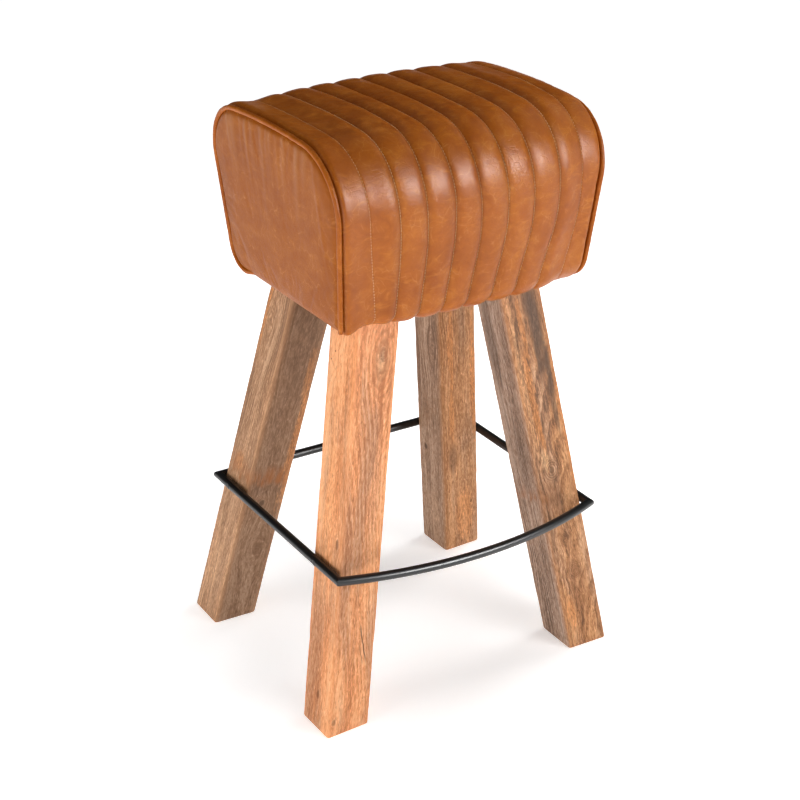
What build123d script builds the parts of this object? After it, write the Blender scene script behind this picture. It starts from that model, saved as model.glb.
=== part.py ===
from build123d import *
import os
from math import atan, asin, cos, sin, sqrt, tan, radians, degrees

os.makedirs("parts", exist_ok=True)

# ---------------------------------------------------------------- driving dimensions (mm)
# Frame: +Z up, +X along the long side of the seat (right), -Y is the front, where
# the foot rail bows outward.  The floor is z = 0.
Y_SHIFT = 9.0          # moves the legs' centre back, so that the origin is the centre of the footprint

# legs
LEG = 63.0             # square section
LEG_EDGE = 3.0         # rounding of the four long edges
FOOT_X = 200.0         # leg centre on the floor
FOOT_Y = 158.3
SPLAY_X = 0.1723       # outward lean per mm of height
SPLAY_Y = 0.1570
LEG_TURN = 2.0         # each leg is turned a little about its own axis (degrees)
LEG_TOP = 545.0        # cut flat against the underside of the seat base

# foot rail ring
RAIL_D = 12.0
RAIL_Z = 219.0
RAIL_X = 200.60         # side rails' centre line, bars resting against the legs
RAIL_YB = 162.89        # back rail's centre line
RAIL_YF = 168.0        # front corners
RAIL_BOW = 35.0        # how far the front rail bows out of its chord
BACK_SCREW = -14.0     # back rail screws, along x from the leg's centre line (outward positive)
SIDE_SCREW_F = 12.0    # side rail screws, along y from the front legs' centre line
SIDE_SCREW_B = 3.0     # and from the back legs' centre line

# rail screws
RS_SHANK = 4.8
RS_HEAD = 8.4
RS_LEN = 50.0

# seat outline at the end panels (y, z)
SEAT_ZB = 543.6
SEAT_ZT = 771.9
SEAT_WB = 135.2        # half width, bottom corner before rounding
SEAT_WT = 161.6        # half width, shoulder corner before rounding
SEAT_CROWN = 11.5
R_BOTTOM = 24.0
R_SHOULDER = 74.0
END_X = 194.8          # end panel's distance from the centre at z = 720
END_SLOPE = 0.0819     # the end panels lean outward
LEATHER = 1.4
SWELL_TOP = 16.0       # how far the padded channels stand above the end outline, mid length
SWELL_SIDE = 9.0
PAD = 8.0              # foam pad behind each end panel
PIPING_D = 7.0

# seams between the ten channels
SEAM_PITCH = 39.2      # at z = 645
SEAM_FAN = 0.0155      # the pitch grows with height
THREAD = 0.9

# inner frame
BASE_T = 18.0
BASE_X = 172.0
BASE_Y = 114.0
BOARD_T = 12.0
BOX_Y = 112.0
BOX_TOP = 700.0
FORMER_T = 15.0
FORMER_IN = 12.0       # former's edge under the foam

# ---------------------------------------------------------------- helpers
CA = atan(END_SLOPE)


def lean(z):
    return END_X + END_SLOPE * (z - 720.0)


def end_plane(side, inset):
    """Leaning plane of one end panel, moved inward by inset."""
    return Plane(origin=(side * (END_X - inset / cos(CA)), 0, 720.0),
                 x_dir=(0, side, 0), z_dir=(side * cos(CA), 0, -sin(CA)))


def inside(shape, side, inset):
    """Keep what is on the inner side of an end plane."""
    return split(shape, bisect_by=end_plane(side, inset), keep=Keep.BOTTOM)


def outside(shape, side, inset):
    return split(shape, bisect_by=end_plane(side, inset), keep=Keep.TOP)


def both(shape, inset):
    return inside(inside(shape, 1, inset), -1, inset)


def profile(plane, off_side=0.0, off_top=0.0, zb=SEAT_ZB, stretch=1.0, r_add=0.0):
    """Rounded trapezoid with a crowned top, in a plane whose local axes are y and z."""
    wb = SEAT_WB + off_side
    wt = SEAT_WT + off_side
    zt = SEAT_ZT + off_top
    zs = zt - SEAT_CROWN
    zb2 = zb
    if zb2 != SEAT_ZB:
        wb = wb + (zb2 - SEAT_ZB) * (SEAT_WT - SEAT_WB) / (SEAT_ZT - SEAT_CROWN - SEAT_ZB)
    o = plane.origin.Z

    def q(y, z):
        return (y, (z - o) * stretch)

    edges = [Line(q(-wb, zb2), q(wb, zb2)), Line(q(wb, zb2), q(wt, zs)),
             ThreePointArc(q(wt, zs), q(0, zt), q(-wt, zs)), Line(q(-wt, zs), q(-wb, zb2))]
    f = make_face(edges)
    vs = f.vertices().sort_by(Axis.Y)
    f = fillet(vs[:2], max(2.0, R_BOTTOM + r_add))
    vs = f.vertices().sort_by(Axis.Y)[-2:]
    f = fillet(vs, R_SHOULDER + r_add)
    return plane * f


def yz(x):
    return Plane(origin=(x, 0, 0), x_dir=(0, 1, 0), z_dir=(1, 0, 0))


def block(x0, x1, y0, y1, z0, z1):
    return Pos((x0 + x1) / 2, (y0 + y1) / 2, (z0 + z1) / 2) * Box(abs(x1 - x0), abs(y1 - y0), abs(z1 - z0))


def seat_solid(inset, zb):
    """The whole padded seat body, inset from the leather's outer face."""
    secs = []
    for x, k in ((-176, 0.0), (-95, 0.78), (0, 1.0), (95, 0.78), (176, 0.0)):
        secs.append(profile(yz(x), SWELL_SIDE * k - inset, SWELL_TOP * k - inset, zb, r_add=-inset))
    mid = loft(secs)
    ends = [extrude(profile(yz(s * 176), -inset, -inset, zb, r_add=-inset), amount=34, dir=(s, 0, 0)) for s in (1, -1)]
    return mid + ends[0] + ends[1]


def end_slab(side, a, b, off, zb=SEAT_ZB):
    """Slab parallel to an end panel, between insets a (outer) and b (inner)."""
    body = extrude(profile(yz(side * 150), off, off, zb, r_add=off), amount=70, dir=(side, 0, 0))
    return outside(inside(body, side, a), side, b)


def rod(p, d, r, length):
    """Cylinder starting at p, along d."""
    pl = Plane(origin=p, z_dir=d)
    return extrude(pl * Circle(r), amount=length)


def cone_rod(p, d, r0, r1, length):
    pl = Plane(origin=p, z_dir=d)
    return pl * (Pos(0, 0, length / 2) * Cone(r0, r1, length))


def screw(p, d, head_r, shank_r, length, dome, tip):
    """Countersunk wood screw as one turned solid: head rim at p, pointing along d."""
    h = head_r - shank_r
    pts = [(head_r, 0), (shank_r, h), (shank_r, length - tip), (0.6, length), (0, length)]
    edges = [Line((pts[i][0], pts[i][1]), (pts[i + 1][0], pts[i + 1][1])) for i in range(4)]
    if dome > 0:
        rr = (head_r ** 2 + dome ** 2) / (2 * dome)
        c = rr - dome
        m = asin(head_r / rr) / 2
        edges.append(ThreePointArc((0, -dome), (rr * sin(m), c - rr * cos(m)), (head_r, 0)))
        edges.append(Line((0, length), (0, -dome)))
    else:
        edges.append(Line((0, 0), (head_r, 0)))
        edges.append(Line((0, length), (0, 0)))
    body = revolve(Plane.XZ * make_face(edges), axis=Axis.Z)
    return Plane(origin=p, z_dir=d) * body


def leg_centre(sx, sy, z):
    return (sx * (FOOT_X - SPLAY_X * z), sy * (FOOT_Y - SPLAY_Y * z), z)


out = {}

# ---------------------------------------------------------------- legs
SIDES = {"front_left": (-1, -1), "front_right": (1, -1), "back_left": (-1, 1), "back_right": (1, 1)}
legs = {}
for name, (sx, sy) in SIDES.items():
    d = Vector(-sx * SPLAY_X, -sy * SPLAY_Y, 1).normalized()
    a = radians(LEG_TURN) * sx * sy
    e = Vector(cos(a), sin(a), 0)
    u = (e - d * e.dot(d)).normalized()
    pl = Plane(origin=(sx * FOOT_X, sy * FOOT_Y, 0), x_dir=u, z_dir=d)
    bar = extrude(pl * RectangleRounded(LEG, LEG, LEG_EDGE), amount=620) + \
        extrude(pl * RectangleRounded(LEG, LEG, LEG_EDGE), amount=-60)
    bar = bar & block(-400, 400, -400, 400, 0, LEG_TOP)
    sole = bar.faces().sort_by(Axis.Z)[0]
    bar = chamfer(sole.edges(), 1.6)
    legs[name] = bar

# leg bolts: two upright bolts per leg, through the base board into threaded inserts
BOLT_D, BOLT_LEN, BOLT_X = 8.0, 58.0, 16.0
WASHER_D, WASHER_T = 22.0, 1.6
HEAD_AF, HEAD_H = 13.0, 5.3
INSERT_D, INSERT_L = 12.0, 20.0
bolts, washers, inserts, leg_holes, base_holes = [], [], [], {n: [] for n in legs}, []
base_top = LEG_TOP + BASE_T
for name, (sx, sy) in SIDES.items():
    cx, cy, _ = leg_centre(sx, sy, LEG_TOP)
    for k in (-1, 1):
        x = cx + k * BOLT_X
        z_head = base_top + WASHER_T
        b = Pos(x, cy, 0) * (Pos(0, 0, z_head - BOLT_LEN / 2) * Cylinder(BOLT_D / 2, BOLT_LEN))
        hexa = extrude(Pos(x, cy, z_head) * RegularPolygon(HEAD_AF / 2, 6, major_radius=False), amount=HEAD_H)
        bolts.append(b + hexa)
        washers.append(Pos(x, cy, base_top + WASHER_T / 2) * (Cylinder(WASHER_D / 2, WASHER_T) - Cylinder(BOLT_D / 2 + 0.2, WASHER_T)))
        zi = LEG_TOP - 2.0 - INSERT_L
        inserts.append(Pos(x, cy, zi + INSERT_L / 2) * (Cylinder(INSERT_D / 2, INSERT_L) - Cylinder(BOLT_D / 2, INSERT_L)))
        leg_holes[name].append(Pos(x, cy, zi + INSERT_L / 2) * Cylinder(INSERT_D / 2, INSERT_L))
        depth = base_top + WASHER_T - BOLT_LEN - 4.0
        leg_holes[name].append(Pos(x, cy, (depth + LEG_TOP) / 2) * Cylinder(BOLT_D / 2 + 0.2, LEG_TOP - depth))
        base_holes.append(Pos(x, cy, LEG_TOP + BASE_T / 2) * Cylinder(BOLT_D / 2 + 0.2, BASE_T))

# ---------------------------------------------------------------- foot rail ring
bow_r = (RAIL_X ** 2 + RAIL_BOW ** 2) / (2 * RAIL_BOW)
bow_a = asin(RAIL_X / bow_r)
bow_cy = -RAIL_YF - RAIL_BOW + bow_r          # arc centre


def bow_y(x):
    return bow_cy - sqrt(bow_r ** 2 - x ** 2)


def mitre(shape, corner, d1, d2, keep_dir):
    """Cut a bar on the plane that bisects the directions d1 and d2 at a corner."""
    b = (Vector(*d1).normalized() + Vector(*d2).normalized()).normalized()
    n = Vector(-b.Y, b.X, 0)
    pl = Plane(origin=corner, z_dir=n)
    k = Keep.TOP if n.dot(Vector(*keep_dir)) > 0 else Keep.BOTTOM
    return split(shape, bisect_by=pl, keep=k)


ext = 14.0
a_ext = bow_a + ext / bow_r
front_path = ThreePointArc((-bow_r * sin(a_ext), bow_cy - bow_r * cos(a_ext), RAIL_Z), (0, bow_cy - bow_r, RAIL_Z),
                           (bow_r * sin(a_ext), bow_cy - bow_r * cos(a_ext), RAIL_Z))
rail_front = sweep(Plane(origin=front_path @ 0, z_dir=front_path % 0) * Circle(RAIL_D / 2), path=front_path)
rail_back = rod((-RAIL_X - ext, RAIL_YB, RAIL_Z), (1, 0, 0), RAIL_D / 2, 2 * (RAIL_X + ext))
rail_left = rod((-RAIL_X, -RAIL_YF - ext, RAIL_Z), (0, 1, 0), RAIL_D / 2, RAIL_YF + RAIL_YB + 2 * ext)
rail_right = rod((RAIL_X, -RAIL_YF - ext, RAIL_Z), (0, 1, 0), RAIL_D / 2, RAIL_YF + RAIL_YB + 2 * ext)
for s in (-1, 1):
    cf = (s * RAIL_X, -RAIL_YF, RAIL_Z)
    cb = (s * RAIL_X, RAIL_YB, RAIL_Z)
    dir_front = (-s * cos(bow_a), -sin(bow_a), 0)
    rail_front = mitre(rail_front, cf, dir_front, (0, 1, 0), dir_front)
    rail_back = mitre(rail_back, cb, (-s, 0, 0), (0, -1, 0), (-s, 0, 0))
    if s < 0:
        rail_left = mitre(rail_left, cf, dir_front, (0, 1, 0), (0, 1, 0))
        rail_left = mitre(rail_left, cb, (-s, 0, 0), (0, -1, 0), (0, -1, 0))
    else:
        rail_right = mitre(rail_right, cf, dir_front, (0, 1, 0), (0, 1, 0))
        rail_right = mitre(rail_right, cb, (-s, 0, 0), (0, -1, 0), (0, -1, 0))

# rail screws: raised countersunk heads in the bars, shanks into the legs
screws, rail_cuts = [], {"front": [], "back": [], "left": [], "right": []}
seats = []
for name, (sx, sy) in SIDES.items():
    cx, cy, _ = leg_centre(sx, sy, RAIL_Z)
    # through the back rail, on the inner half of the leg's face; the bowed front rail stands clear of its legs
    if sy > 0:
        x = cx + sx * BACK_SCREW
        seats.append((name, "back", (x, RAIL_YB + RAIL_D / 2, RAIL_Z), (0, -1, 0)))
    # through a side rail
    y = cy + (SIDE_SCREW_F if sy < 0 else SIDE_SCREW_B)
    seats.append((name, "left" if sx < 0 else "right", (sx * (RAIL_X + RAIL_D / 2), y, RAIL_Z), (-sx, 0, 0)))
for leg_name, rail, p, d in seats:
    P, D = Vector(*p), Vector(*d)
    cone_h = (RS_HEAD - RS_SHANK) / 2
    head0 = P + D * 0.9                      # the head's rim sits a little below the bar's crest
    screws.append(screw(head0, d, RS_HEAD / 2, RS_SHANK / 2, RS_LEN, 1.3, 7.0))
    rail_cuts[rail].append(rod(P - D * 6, d, RS_SHANK / 2 + 0.1, 30))
    rail_cuts[rail].append(cone_rod(head0, d, RS_HEAD / 2, RS_SHANK / 2, cone_h))
    rail_cuts[rail].append(rod(head0 - D * 8, d, RS_HEAD / 2, 8))
    leg_holes[leg_name].append(rod(P, d, RS_SHANK / 2, RS_LEN + 1.5))


def cut(shape, tools):
    for t in tools:
        shape = shape - t
    return shape


for name in legs:
    out["leg_" + name] = cut(legs[name], leg_holes[name])
out["foot_rail_front"] = cut(rail_front, rail_cuts["front"])
out["foot_rail_back"] = cut(rail_back, rail_cuts["back"])
out["foot_rail_left"] = cut(rail_left, rail_cuts["left"])
out["foot_rail_right"] = cut(rail_right, rail_cuts["right"])
out["foot_rail_screws"] = Compound(children=[s for s in screws])
out["leg_bolts"] = Compound(children=bolts)
out["leg_bolt_washers"] = Compound(children=washers)
out["leg_inserts"] = Compound(children=inserts)

# ---------------------------------------------------------------- seat: inner frame
base_board = block(-BASE_X, BASE_X, -BASE_Y, BASE_Y, LEG_TOP, base_top)
base_board = fillet(base_board.edges().filter_by(Axis.Z), 8)
side_f = both(block(-200, 200, -BOX_Y, -BOX_Y + BOARD_T, base_top, BOX_TOP - BOARD_T), LEATHER + PAD + FORMER_T)
side_b = both(block(-200, 200, BOX_Y - BOARD_T, BOX_Y, base_top, BOX_TOP - BOARD_T), LEATHER + PAD + FORMER_T)
top_board = both(block(-210, 210, -BOX_Y, BOX_Y, BOX_TOP - BOARD_T, BOX_TOP), LEATHER + PAD + FORMER_T)
formers = {}
for side, nm in ((-1, "left"), (1, "right")):
    f = end_slab(side, LEATHER + PAD, LEATHER + PAD + FORMER_T, -FORMER_IN)
    formers[nm] = f & block(-260, 260, -200, 200, base_top, 800)

# frame screws: from below into the side boards and end formers, from above into the side boards
FS_D, FS_HEAD, FS_LEN = 4.0, 8.0, 40.0


def wood_screw(p, d):
    return screw(p, d, FS_HEAD / 2, FS_D / 2, FS_LEN, 0.0, 6.0)


frame_screws = []
for x in (-145.0, -48.0, 48.0, 145.0):
    for y in (-BOX_Y + BOARD_T / 2, BOX_Y - BOARD_T / 2):
        frame_screws.append(wood_screw((x, y, LEG_TOP), (0, 0, 1)))
        frame_screws.append(wood_screw((x, y, BOX_TOP), (0, 0, -1)))
for side in (-1, 1):
    xf = side * (lean(base_top + 11) - (LEATHER + PAD + FORMER_T / 2) / cos(CA))
    for y in (-62.0, 0.0, 62.0):
        frame_screws.append(wood_screw((xf, y, LEG_TOP), (0, 0, 1)))

# ---------------------------------------------------------------- seat: padding and leather
cover_out = seat_solid(0.0, SEAT_ZB)
cover_in = seat_solid(LEATHER, LEG_TOP)

pipings = {}
for side, nm in ((-1, "left"), (1, "right")):
    pl = end_plane(side, 0.0)
    f = profile(pl, 0.0, 0.0, SEAT_ZB, stretch=1 / cos(CA))
    w = f.faces()[0].outer_wire()
    keep = [e for e in w.edges() if not (e.geom_type == GeomType.LINE and abs((e % 0.5).Z) < 0.01)]
    path = Wire(keep)
    start = path @ 0
    pipings[nm] = sweep(Plane(origin=start, z_dir=path % 0) * Circle(PIPING_D / 2), path=path)

FLANGE_Y = 86.0
FLANGE_X = 152.0
cover = both(cover_out, 0.0) - cover_in - block(-260, 260, -FLANGE_Y, FLANGE_Y, SEAT_ZB - 1, LEG_TOP)
clear_legs = []
for name, (sx, sy) in SIDES.items():
    cx, cy, _ = leg_centre(sx, sy, LEG_TOP)
    c = leg_centre(sx, sy, LEG_TOP)
    clear_legs.append(Pos(c[0] + sx * 0.4, c[1] + sy * 0.4, LEG_TOP) * Box(LEG + 6, LEG + 6, 12))
cover = cut(cover, clear_legs) - pipings["left"] - pipings["right"]

end_panels, end_pads = {}, {}
for side, nm in ((-1, "left"), (1, "right")):
    panel = end_slab(side, 0.0, LEATHER, -LEATHER)
    lip = block(side * FLANGE_X, side * 200, -FLANGE_Y + 2, FLANGE_Y - 2, SEAT_ZB, LEG_TOP)
    lip = inside(lip, side, 0.0)
    end_panels[nm] = (panel + lip) - pipings[nm]
    pad = end_slab(side, LEATHER, LEATHER + PAD, -LEATHER, LEG_TOP)
    end_pads[nm] = pad - base_board - pipings[nm]

foam = both(cover_in, LEATHER + PAD) - base_board - formers["left"] - formers["right"]
foam = foam - both(block(-260, 260, -BOX_Y, BOX_Y, LEG_TOP - 5, BOX_TOP), LEATHER + PAD + FORMER_T)
foam = foam - block(-BASE_X, BASE_X, -BASE_Y, BASE_Y, LEG_TOP - 5, base_top) - pipings["left"] - pipings["right"]

threads = []
skin = seat_solid(-0.7, SEAT_ZB)
shell = skin - cover_out
for k in range(-4, 5):
    s = Pos(k * SEAM_PITCH, 0, 645) * (Rot(0, degrees(atan(k * SEAM_FAN)), 0) * (Pos(0, 0, 60) * Box(THREAD, 400, 310)))
    t = shell & (s & block(-260, 260, -260, 260, 551, 900))
    threads += list(t.solids())

# dust cover and staples
dust = block(-161, 161, -96, 96, SEAT_ZB - 0.8, SEAT_ZB)
dust = cut(dust, clear_legs)
staples = []
places = [(x, s * 91.0, 0) for x in (-150.0, -50.0, -17.0, 17.0, 50.0, 150.0) for s in (-1, 1)] + \
    [(s * 156.5, y, 90) for y in (-66.0, -22.0, 22.0, 66.0) for s in (-1, 1)]
for x, y, a in places:
    crown = Pos(0, 0, -0.4) * Box(10, 1.2, 0.8)
    p1 = Pos(-4.6, 0, 4.0) * Box(0.8, 1.2, 8.0)
    p2 = Pos(4.6, 0, 4.0) * Box(0.8, 1.2, 8.0)
    staples.append(Pos(x, y, SEAT_ZB - 0.8) * (Rot(0, 0, a) * (crown + p1 + p2)))
dust = cut(dust, staples)
cover = cut(cover, staples)
base_board = cut(cut(base_board, base_holes), staples + frame_screws)
for nm in end_panels:
    end_panels[nm] = cut(end_panels[nm], staples) - cover
    formers[nm] = cut(formers[nm], frame_screws)
side_f = cut(side_f, frame_screws)
side_b = cut(side_b, frame_screws)
top_board = cut(top_board, frame_screws)

out["base_board"] = base_board
out["side_board_front"] = side_f
out["side_board_back"] = side_b
out["top_board"] = top_board
out["end_former_left"] = formers["left"]
out["end_former_right"] = formers["right"]
out["frame_screws"] = Compound(children=frame_screws)
out["seat_foam"] = foam
out["end_pad_left"] = end_pads["left"]
out["end_pad_right"] = end_pads["right"]
out["seat_cover"] = cover
out["end_panel_left"] = end_panels["left"]
out["end_panel_right"] = end_panels["right"]
out["piping_left"] = pipings["left"]
out["piping_right"] = pipings["right"]
out["seam_thread"] = Compound(children=threads)
out["dust_cover"] = dust
out["cover_staples"] = Compound(children=staples)

for name, shape in out.items():
    solids = [s for s in shape.solids()]
    moved = [Pos(0, Y_SHIFT, 0) * s for s in solids]
    body = moved[0] if len(moved) == 1 else Compound(children=moved)
    body.label = name
    export_step(body, "parts/" + name + ".step")
    bb = body.bounding_box()
    print(name, len(solids), "solids", [round(v, 1) for v in (bb.min.X, bb.min.Y, bb.min.Z, bb.max.X, bb.max.Y, bb.max.Z)])
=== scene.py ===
import bmesh
import bpy
import math
import numpy as np
from mathutils import Matrix, Vector
from mathutils.geometry import delaunay_2d_cdt


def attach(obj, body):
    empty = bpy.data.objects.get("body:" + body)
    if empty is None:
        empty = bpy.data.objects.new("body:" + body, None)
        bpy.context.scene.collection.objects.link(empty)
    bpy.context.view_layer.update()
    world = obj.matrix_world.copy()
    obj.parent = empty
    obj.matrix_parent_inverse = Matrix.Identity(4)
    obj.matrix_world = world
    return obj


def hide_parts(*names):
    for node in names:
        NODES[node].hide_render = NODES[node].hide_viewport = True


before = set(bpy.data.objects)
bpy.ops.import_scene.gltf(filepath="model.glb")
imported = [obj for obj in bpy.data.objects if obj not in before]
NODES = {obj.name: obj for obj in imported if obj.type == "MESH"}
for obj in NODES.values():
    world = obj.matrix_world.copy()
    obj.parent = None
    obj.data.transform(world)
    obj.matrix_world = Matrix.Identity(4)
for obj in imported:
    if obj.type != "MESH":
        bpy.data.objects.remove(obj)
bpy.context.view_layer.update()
SC = bpy.context.scene

# ------------------------------------------------------------------ units and small helpers
# Shapes are worked out in millimetres about the seat's own centre line; the frame's origin
# is 9 mm in front of it.
Y_SHIFT = 9.0


def metres(p):
    p = np.asarray(p, float).reshape(-1, 3).copy()
    p[:, 1] += Y_SHIFT
    return p * 0.001


def mesh_object(name, pts, faces, smooth=True, world=False):
    me = bpy.data.meshes.new(name)
    co = np.asarray(pts, float).reshape(-1, 3) if world else metres(pts)
    me.from_pydata(co.tolist(), [], [list(map(int, f)) for f in faces])
    me.update()
    if smooth:
        me.polygons.foreach_set("use_smooth", [True] * len(me.polygons))
    ob = bpy.data.objects.new(name, me)
    SC.collection.objects.link(ob)
    return ob


def grid_faces(rows, cols, close_cols=False, flip=False, start=0):
    r = np.arange(rows - 1)[:, None]
    n = cols if close_cols else cols - 1
    c = np.arange(n)[None, :]
    c2 = (c + 1) % cols
    a, b, d, e = r * cols + c, r * cols + c2, (r + 1) * cols + c2, (r + 1) * cols + c
    f = np.stack([a, b, d, e], -1).reshape(-1, 4) + start
    return f[:, ::-1] if flip else f


def scalar_attr(ob, name, values):
    at = ob.data.attributes.new(name, "FLOAT", "POINT")
    at.data.foreach_set("value", np.asarray(values, np.float32).ravel())


def vector_attr(ob, name, values):
    at = ob.data.attributes.new(name, "FLOAT_VECTOR", "POINT")
    at.data.foreach_set("vector", np.asarray(values, np.float32).ravel())


def coords(ob):
    co = np.zeros(len(ob.data.vertices) * 3)
    ob.data.vertices.foreach_get("co", co)
    return co.reshape(-1, 3)


def smoothstep(a, b, x):
    t = np.clip((np.asarray(x, float) - a) / (b - a), 0, 1)
    return t * t * (3 - 2 * t)


def hermite(xn, xo, yo):
    """Smooth curve through unevenly spaced knots."""
    xo, yo, xn = np.asarray(xo, float), np.asarray(yo, float), np.asarray(xn, float)
    d = np.diff(yo) / np.diff(xo)
    h = np.diff(xo)
    m = np.empty_like(yo)
    m[1:-1] = (d[:-1] * h[1:] + d[1:] * h[:-1]) / (h[1:] + h[:-1])
    m[0], m[-1] = d[0], d[-1]
    i = np.clip(np.searchsorted(xo, xn) - 1, 0, len(xo) - 2)
    t = (xn - xo[i]) / h[i]
    return ((2 * t ** 3 - 3 * t ** 2 + 1) * yo[i] + (t ** 3 - 2 * t ** 2 + t) * h[i] * m[i]
            + (-2 * t ** 3 + 3 * t ** 2) * yo[i + 1] + (t ** 3 - t ** 2) * h[i] * m[i + 1])


def value_noise(shape_pts, seed):
    """Smooth noise in [-1, 1] for points given in lattice units (n, 3)."""
    p = np.asarray(shape_pts, float)
    i = np.floor(p).astype(np.int64)
    f = p - i
    f = f * f * f * (f * (f * 6 - 15) + 10)
    out = np.zeros(len(p))
    for dx in (0, 1):
        for dy in (0, 1):
            for dz in (0, 1):
                h = ((i[:, 0] + dx) * 73856093) ^ ((i[:, 1] + dy) * 19349663) ^ ((i[:, 2] + dz) * 83492791) ^ (seed * 2654435761)
                h = (h ^ (h >> 13)) * 1274126177
                h = (h ^ (h >> 16)) & 0xFFFFFF
                v = h / float(0xFFFFFF) * 2 - 1
                w = (f[:, 0] if dx else 1 - f[:, 0]) * (f[:, 1] if dy else 1 - f[:, 1]) * (f[:, 2] if dz else 1 - f[:, 2])
                out += v * w
    return out


def normals_of(grid):
    """Unit normals of a (rows, cols, 3) grid, pointing away from the seat."""
    du = np.gradient(grid, axis=0)
    dv = np.gradient(grid, axis=1)
    n = np.cross(dv, du)
    n /= np.maximum(np.linalg.norm(n, axis=2, keepdims=True), 1e-9)
    return n


# ------------------------------------------------------------------ node material helper
class Nodes:
    def __init__(self, name):
        self.mat = bpy.data.materials.new(name)
        self.mat.use_nodes = True
        self.t = self.mat.node_tree
        self.bsdf = self.t.nodes["Principled BSDF"]

    def node(self, kind, **props):
        n = self.t.nodes.new(kind)
        for k, v in props.items():
            setattr(n, k, v)
        return n

    def put(self, sock, v):
        if isinstance(v, bpy.types.NodeSocket):
            self.t.links.new(v, sock)
        else:
            sock.default_value = v

    def math(self, op, a, b=0.0, c=None, clamp=False):
        n = self.node("ShaderNodeMath", operation=op, use_clamp=clamp)
        self.put(n.inputs[0], a)
        self.put(n.inputs[1], b)
        if c is not None:
            self.put(n.inputs[2], c)
        return n.outputs[0]

    def vmath(self, op, a, b=(0, 0, 0), scale=None):
        n = self.node("ShaderNodeVectorMath", operation=op)
        self.put(n.inputs[0], a)
        if op not in ("LENGTH", "SCALE", "NORMALIZE"):
            self.put(n.inputs[1], b)
        if scale is not None:
            self.put(n.inputs["Scale"], scale)
        return n.outputs["Value"] if op in ("LENGTH", "DOT_PRODUCT", "DISTANCE") else n.outputs["Vector"]

    def attr(self, name, out="Fac"):
        n = self.node("ShaderNodeAttribute", attribute_type="GEOMETRY", attribute_name=name)
        return n.outputs[out]

    def coord(self):
        return self.node("ShaderNodeTexCoord").outputs["Object"]

    def mapped(self, vec, scale=(1, 1, 1), loc=(0, 0, 0), rot=(0, 0, 0)):
        n = self.node("ShaderNodeMapping")
        self.put(n.inputs["Vector"], vec)
        n.inputs["Scale"].default_value = scale
        n.inputs["Location"].default_value = loc
        n.inputs["Rotation"].default_value = rot
        return n.outputs[0]

    def noise(self, vec, scale, detail=3.0, rough=0.5, dist=0.0, lac=2.0, color=False):
        n = self.node("ShaderNodeTexNoise")
        self.put(n.inputs["Vector"], vec)
        n.inputs["Scale"].default_value = scale
        n.inputs["Detail"].default_value = detail
        n.inputs["Roughness"].default_value = rough
        n.inputs["Distortion"].default_value = dist
        n.inputs["Lacunarity"].default_value = lac
        return n.outputs["Color"] if color else n.outputs["Fac"]

    def voronoi(self, vec, scale, feature="F1", rand=1.0, out="Distance"):
        n = self.node("ShaderNodeTexVoronoi", feature=feature)
        self.put(n.inputs["Vector"], vec)
        n.inputs["Scale"].default_value = scale
        n.inputs["Randomness"].default_value = rand
        return n.outputs[out]

    def ramp(self, fac, stops, interp="LINEAR"):
        n = self.node("ShaderNodeValToRGB")
        n.color_ramp.interpolation = interp
        el = n.color_ramp.elements
        while len(el) < len(stops):
            el.new(0.5)
        for e, (pos, col) in zip(el, stops):
            e.position = pos
            e.color = (*col, 1) if len(col) == 3 else col
        self.put(n.inputs[0], fac)
        return n.outputs[0]

    def step(self, v, a, b, lo=0.0, hi=1.0):
        n = self.node("ShaderNodeMapRange", interpolation_type="SMOOTHSTEP")
        self.put(n.inputs["Value"], v)
        n.inputs["From Min"].default_value = a
        n.inputs["From Max"].default_value = b
        n.inputs["To Min"].default_value = lo
        n.inputs["To Max"].default_value = hi
        return n.outputs[0]

    def mix(self, fac, a, b, mode="MIX"):
        n = self.node("ShaderNodeMix", data_type="RGBA", blend_type=mode)
        self.put(n.inputs[0], fac)
        self.put(n.inputs[6], a if isinstance(a, bpy.types.NodeSocket) else (*a, 1))
        self.put(n.inputs[7], b if isinstance(b, bpy.types.NodeSocket) else (*b, 1))
        return n.outputs[2]

    def sep(self, vec):
        n = self.node("ShaderNodeSeparateXYZ")
        self.put(n.inputs[0], vec)
        return n.outputs

    def comb(self, x, y, z):
        n = self.node("ShaderNodeCombineXYZ")
        for s, v in zip(n.inputs, (x, y, z)):
            self.put(s, v)
        return n.outputs[0]

    def bump(self, height, strength=0.3, distance=0.001, normal=None):
        n = self.node("ShaderNodeBump")
        n.inputs["Strength"].default_value = strength
        n.inputs["Distance"].default_value = distance
        self.put(n.inputs["Height"], height)
        if normal is not None:
            self.put(n.inputs["Normal"], normal)
        return n.outputs[0]

    def finish(self, **kw):
        for k, v in kw.items():
            self.put(self.bsdf.inputs[k.replace("_", " ")], v)
        return self.mat


def srgb(r, g, b):
    def f(c):
        c /= 255.0
        return c / 12.92 if c <= 0.04045 else ((c + 0.055) / 1.055) ** 2.4
    return (f(r), f(g), f(b))


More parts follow.
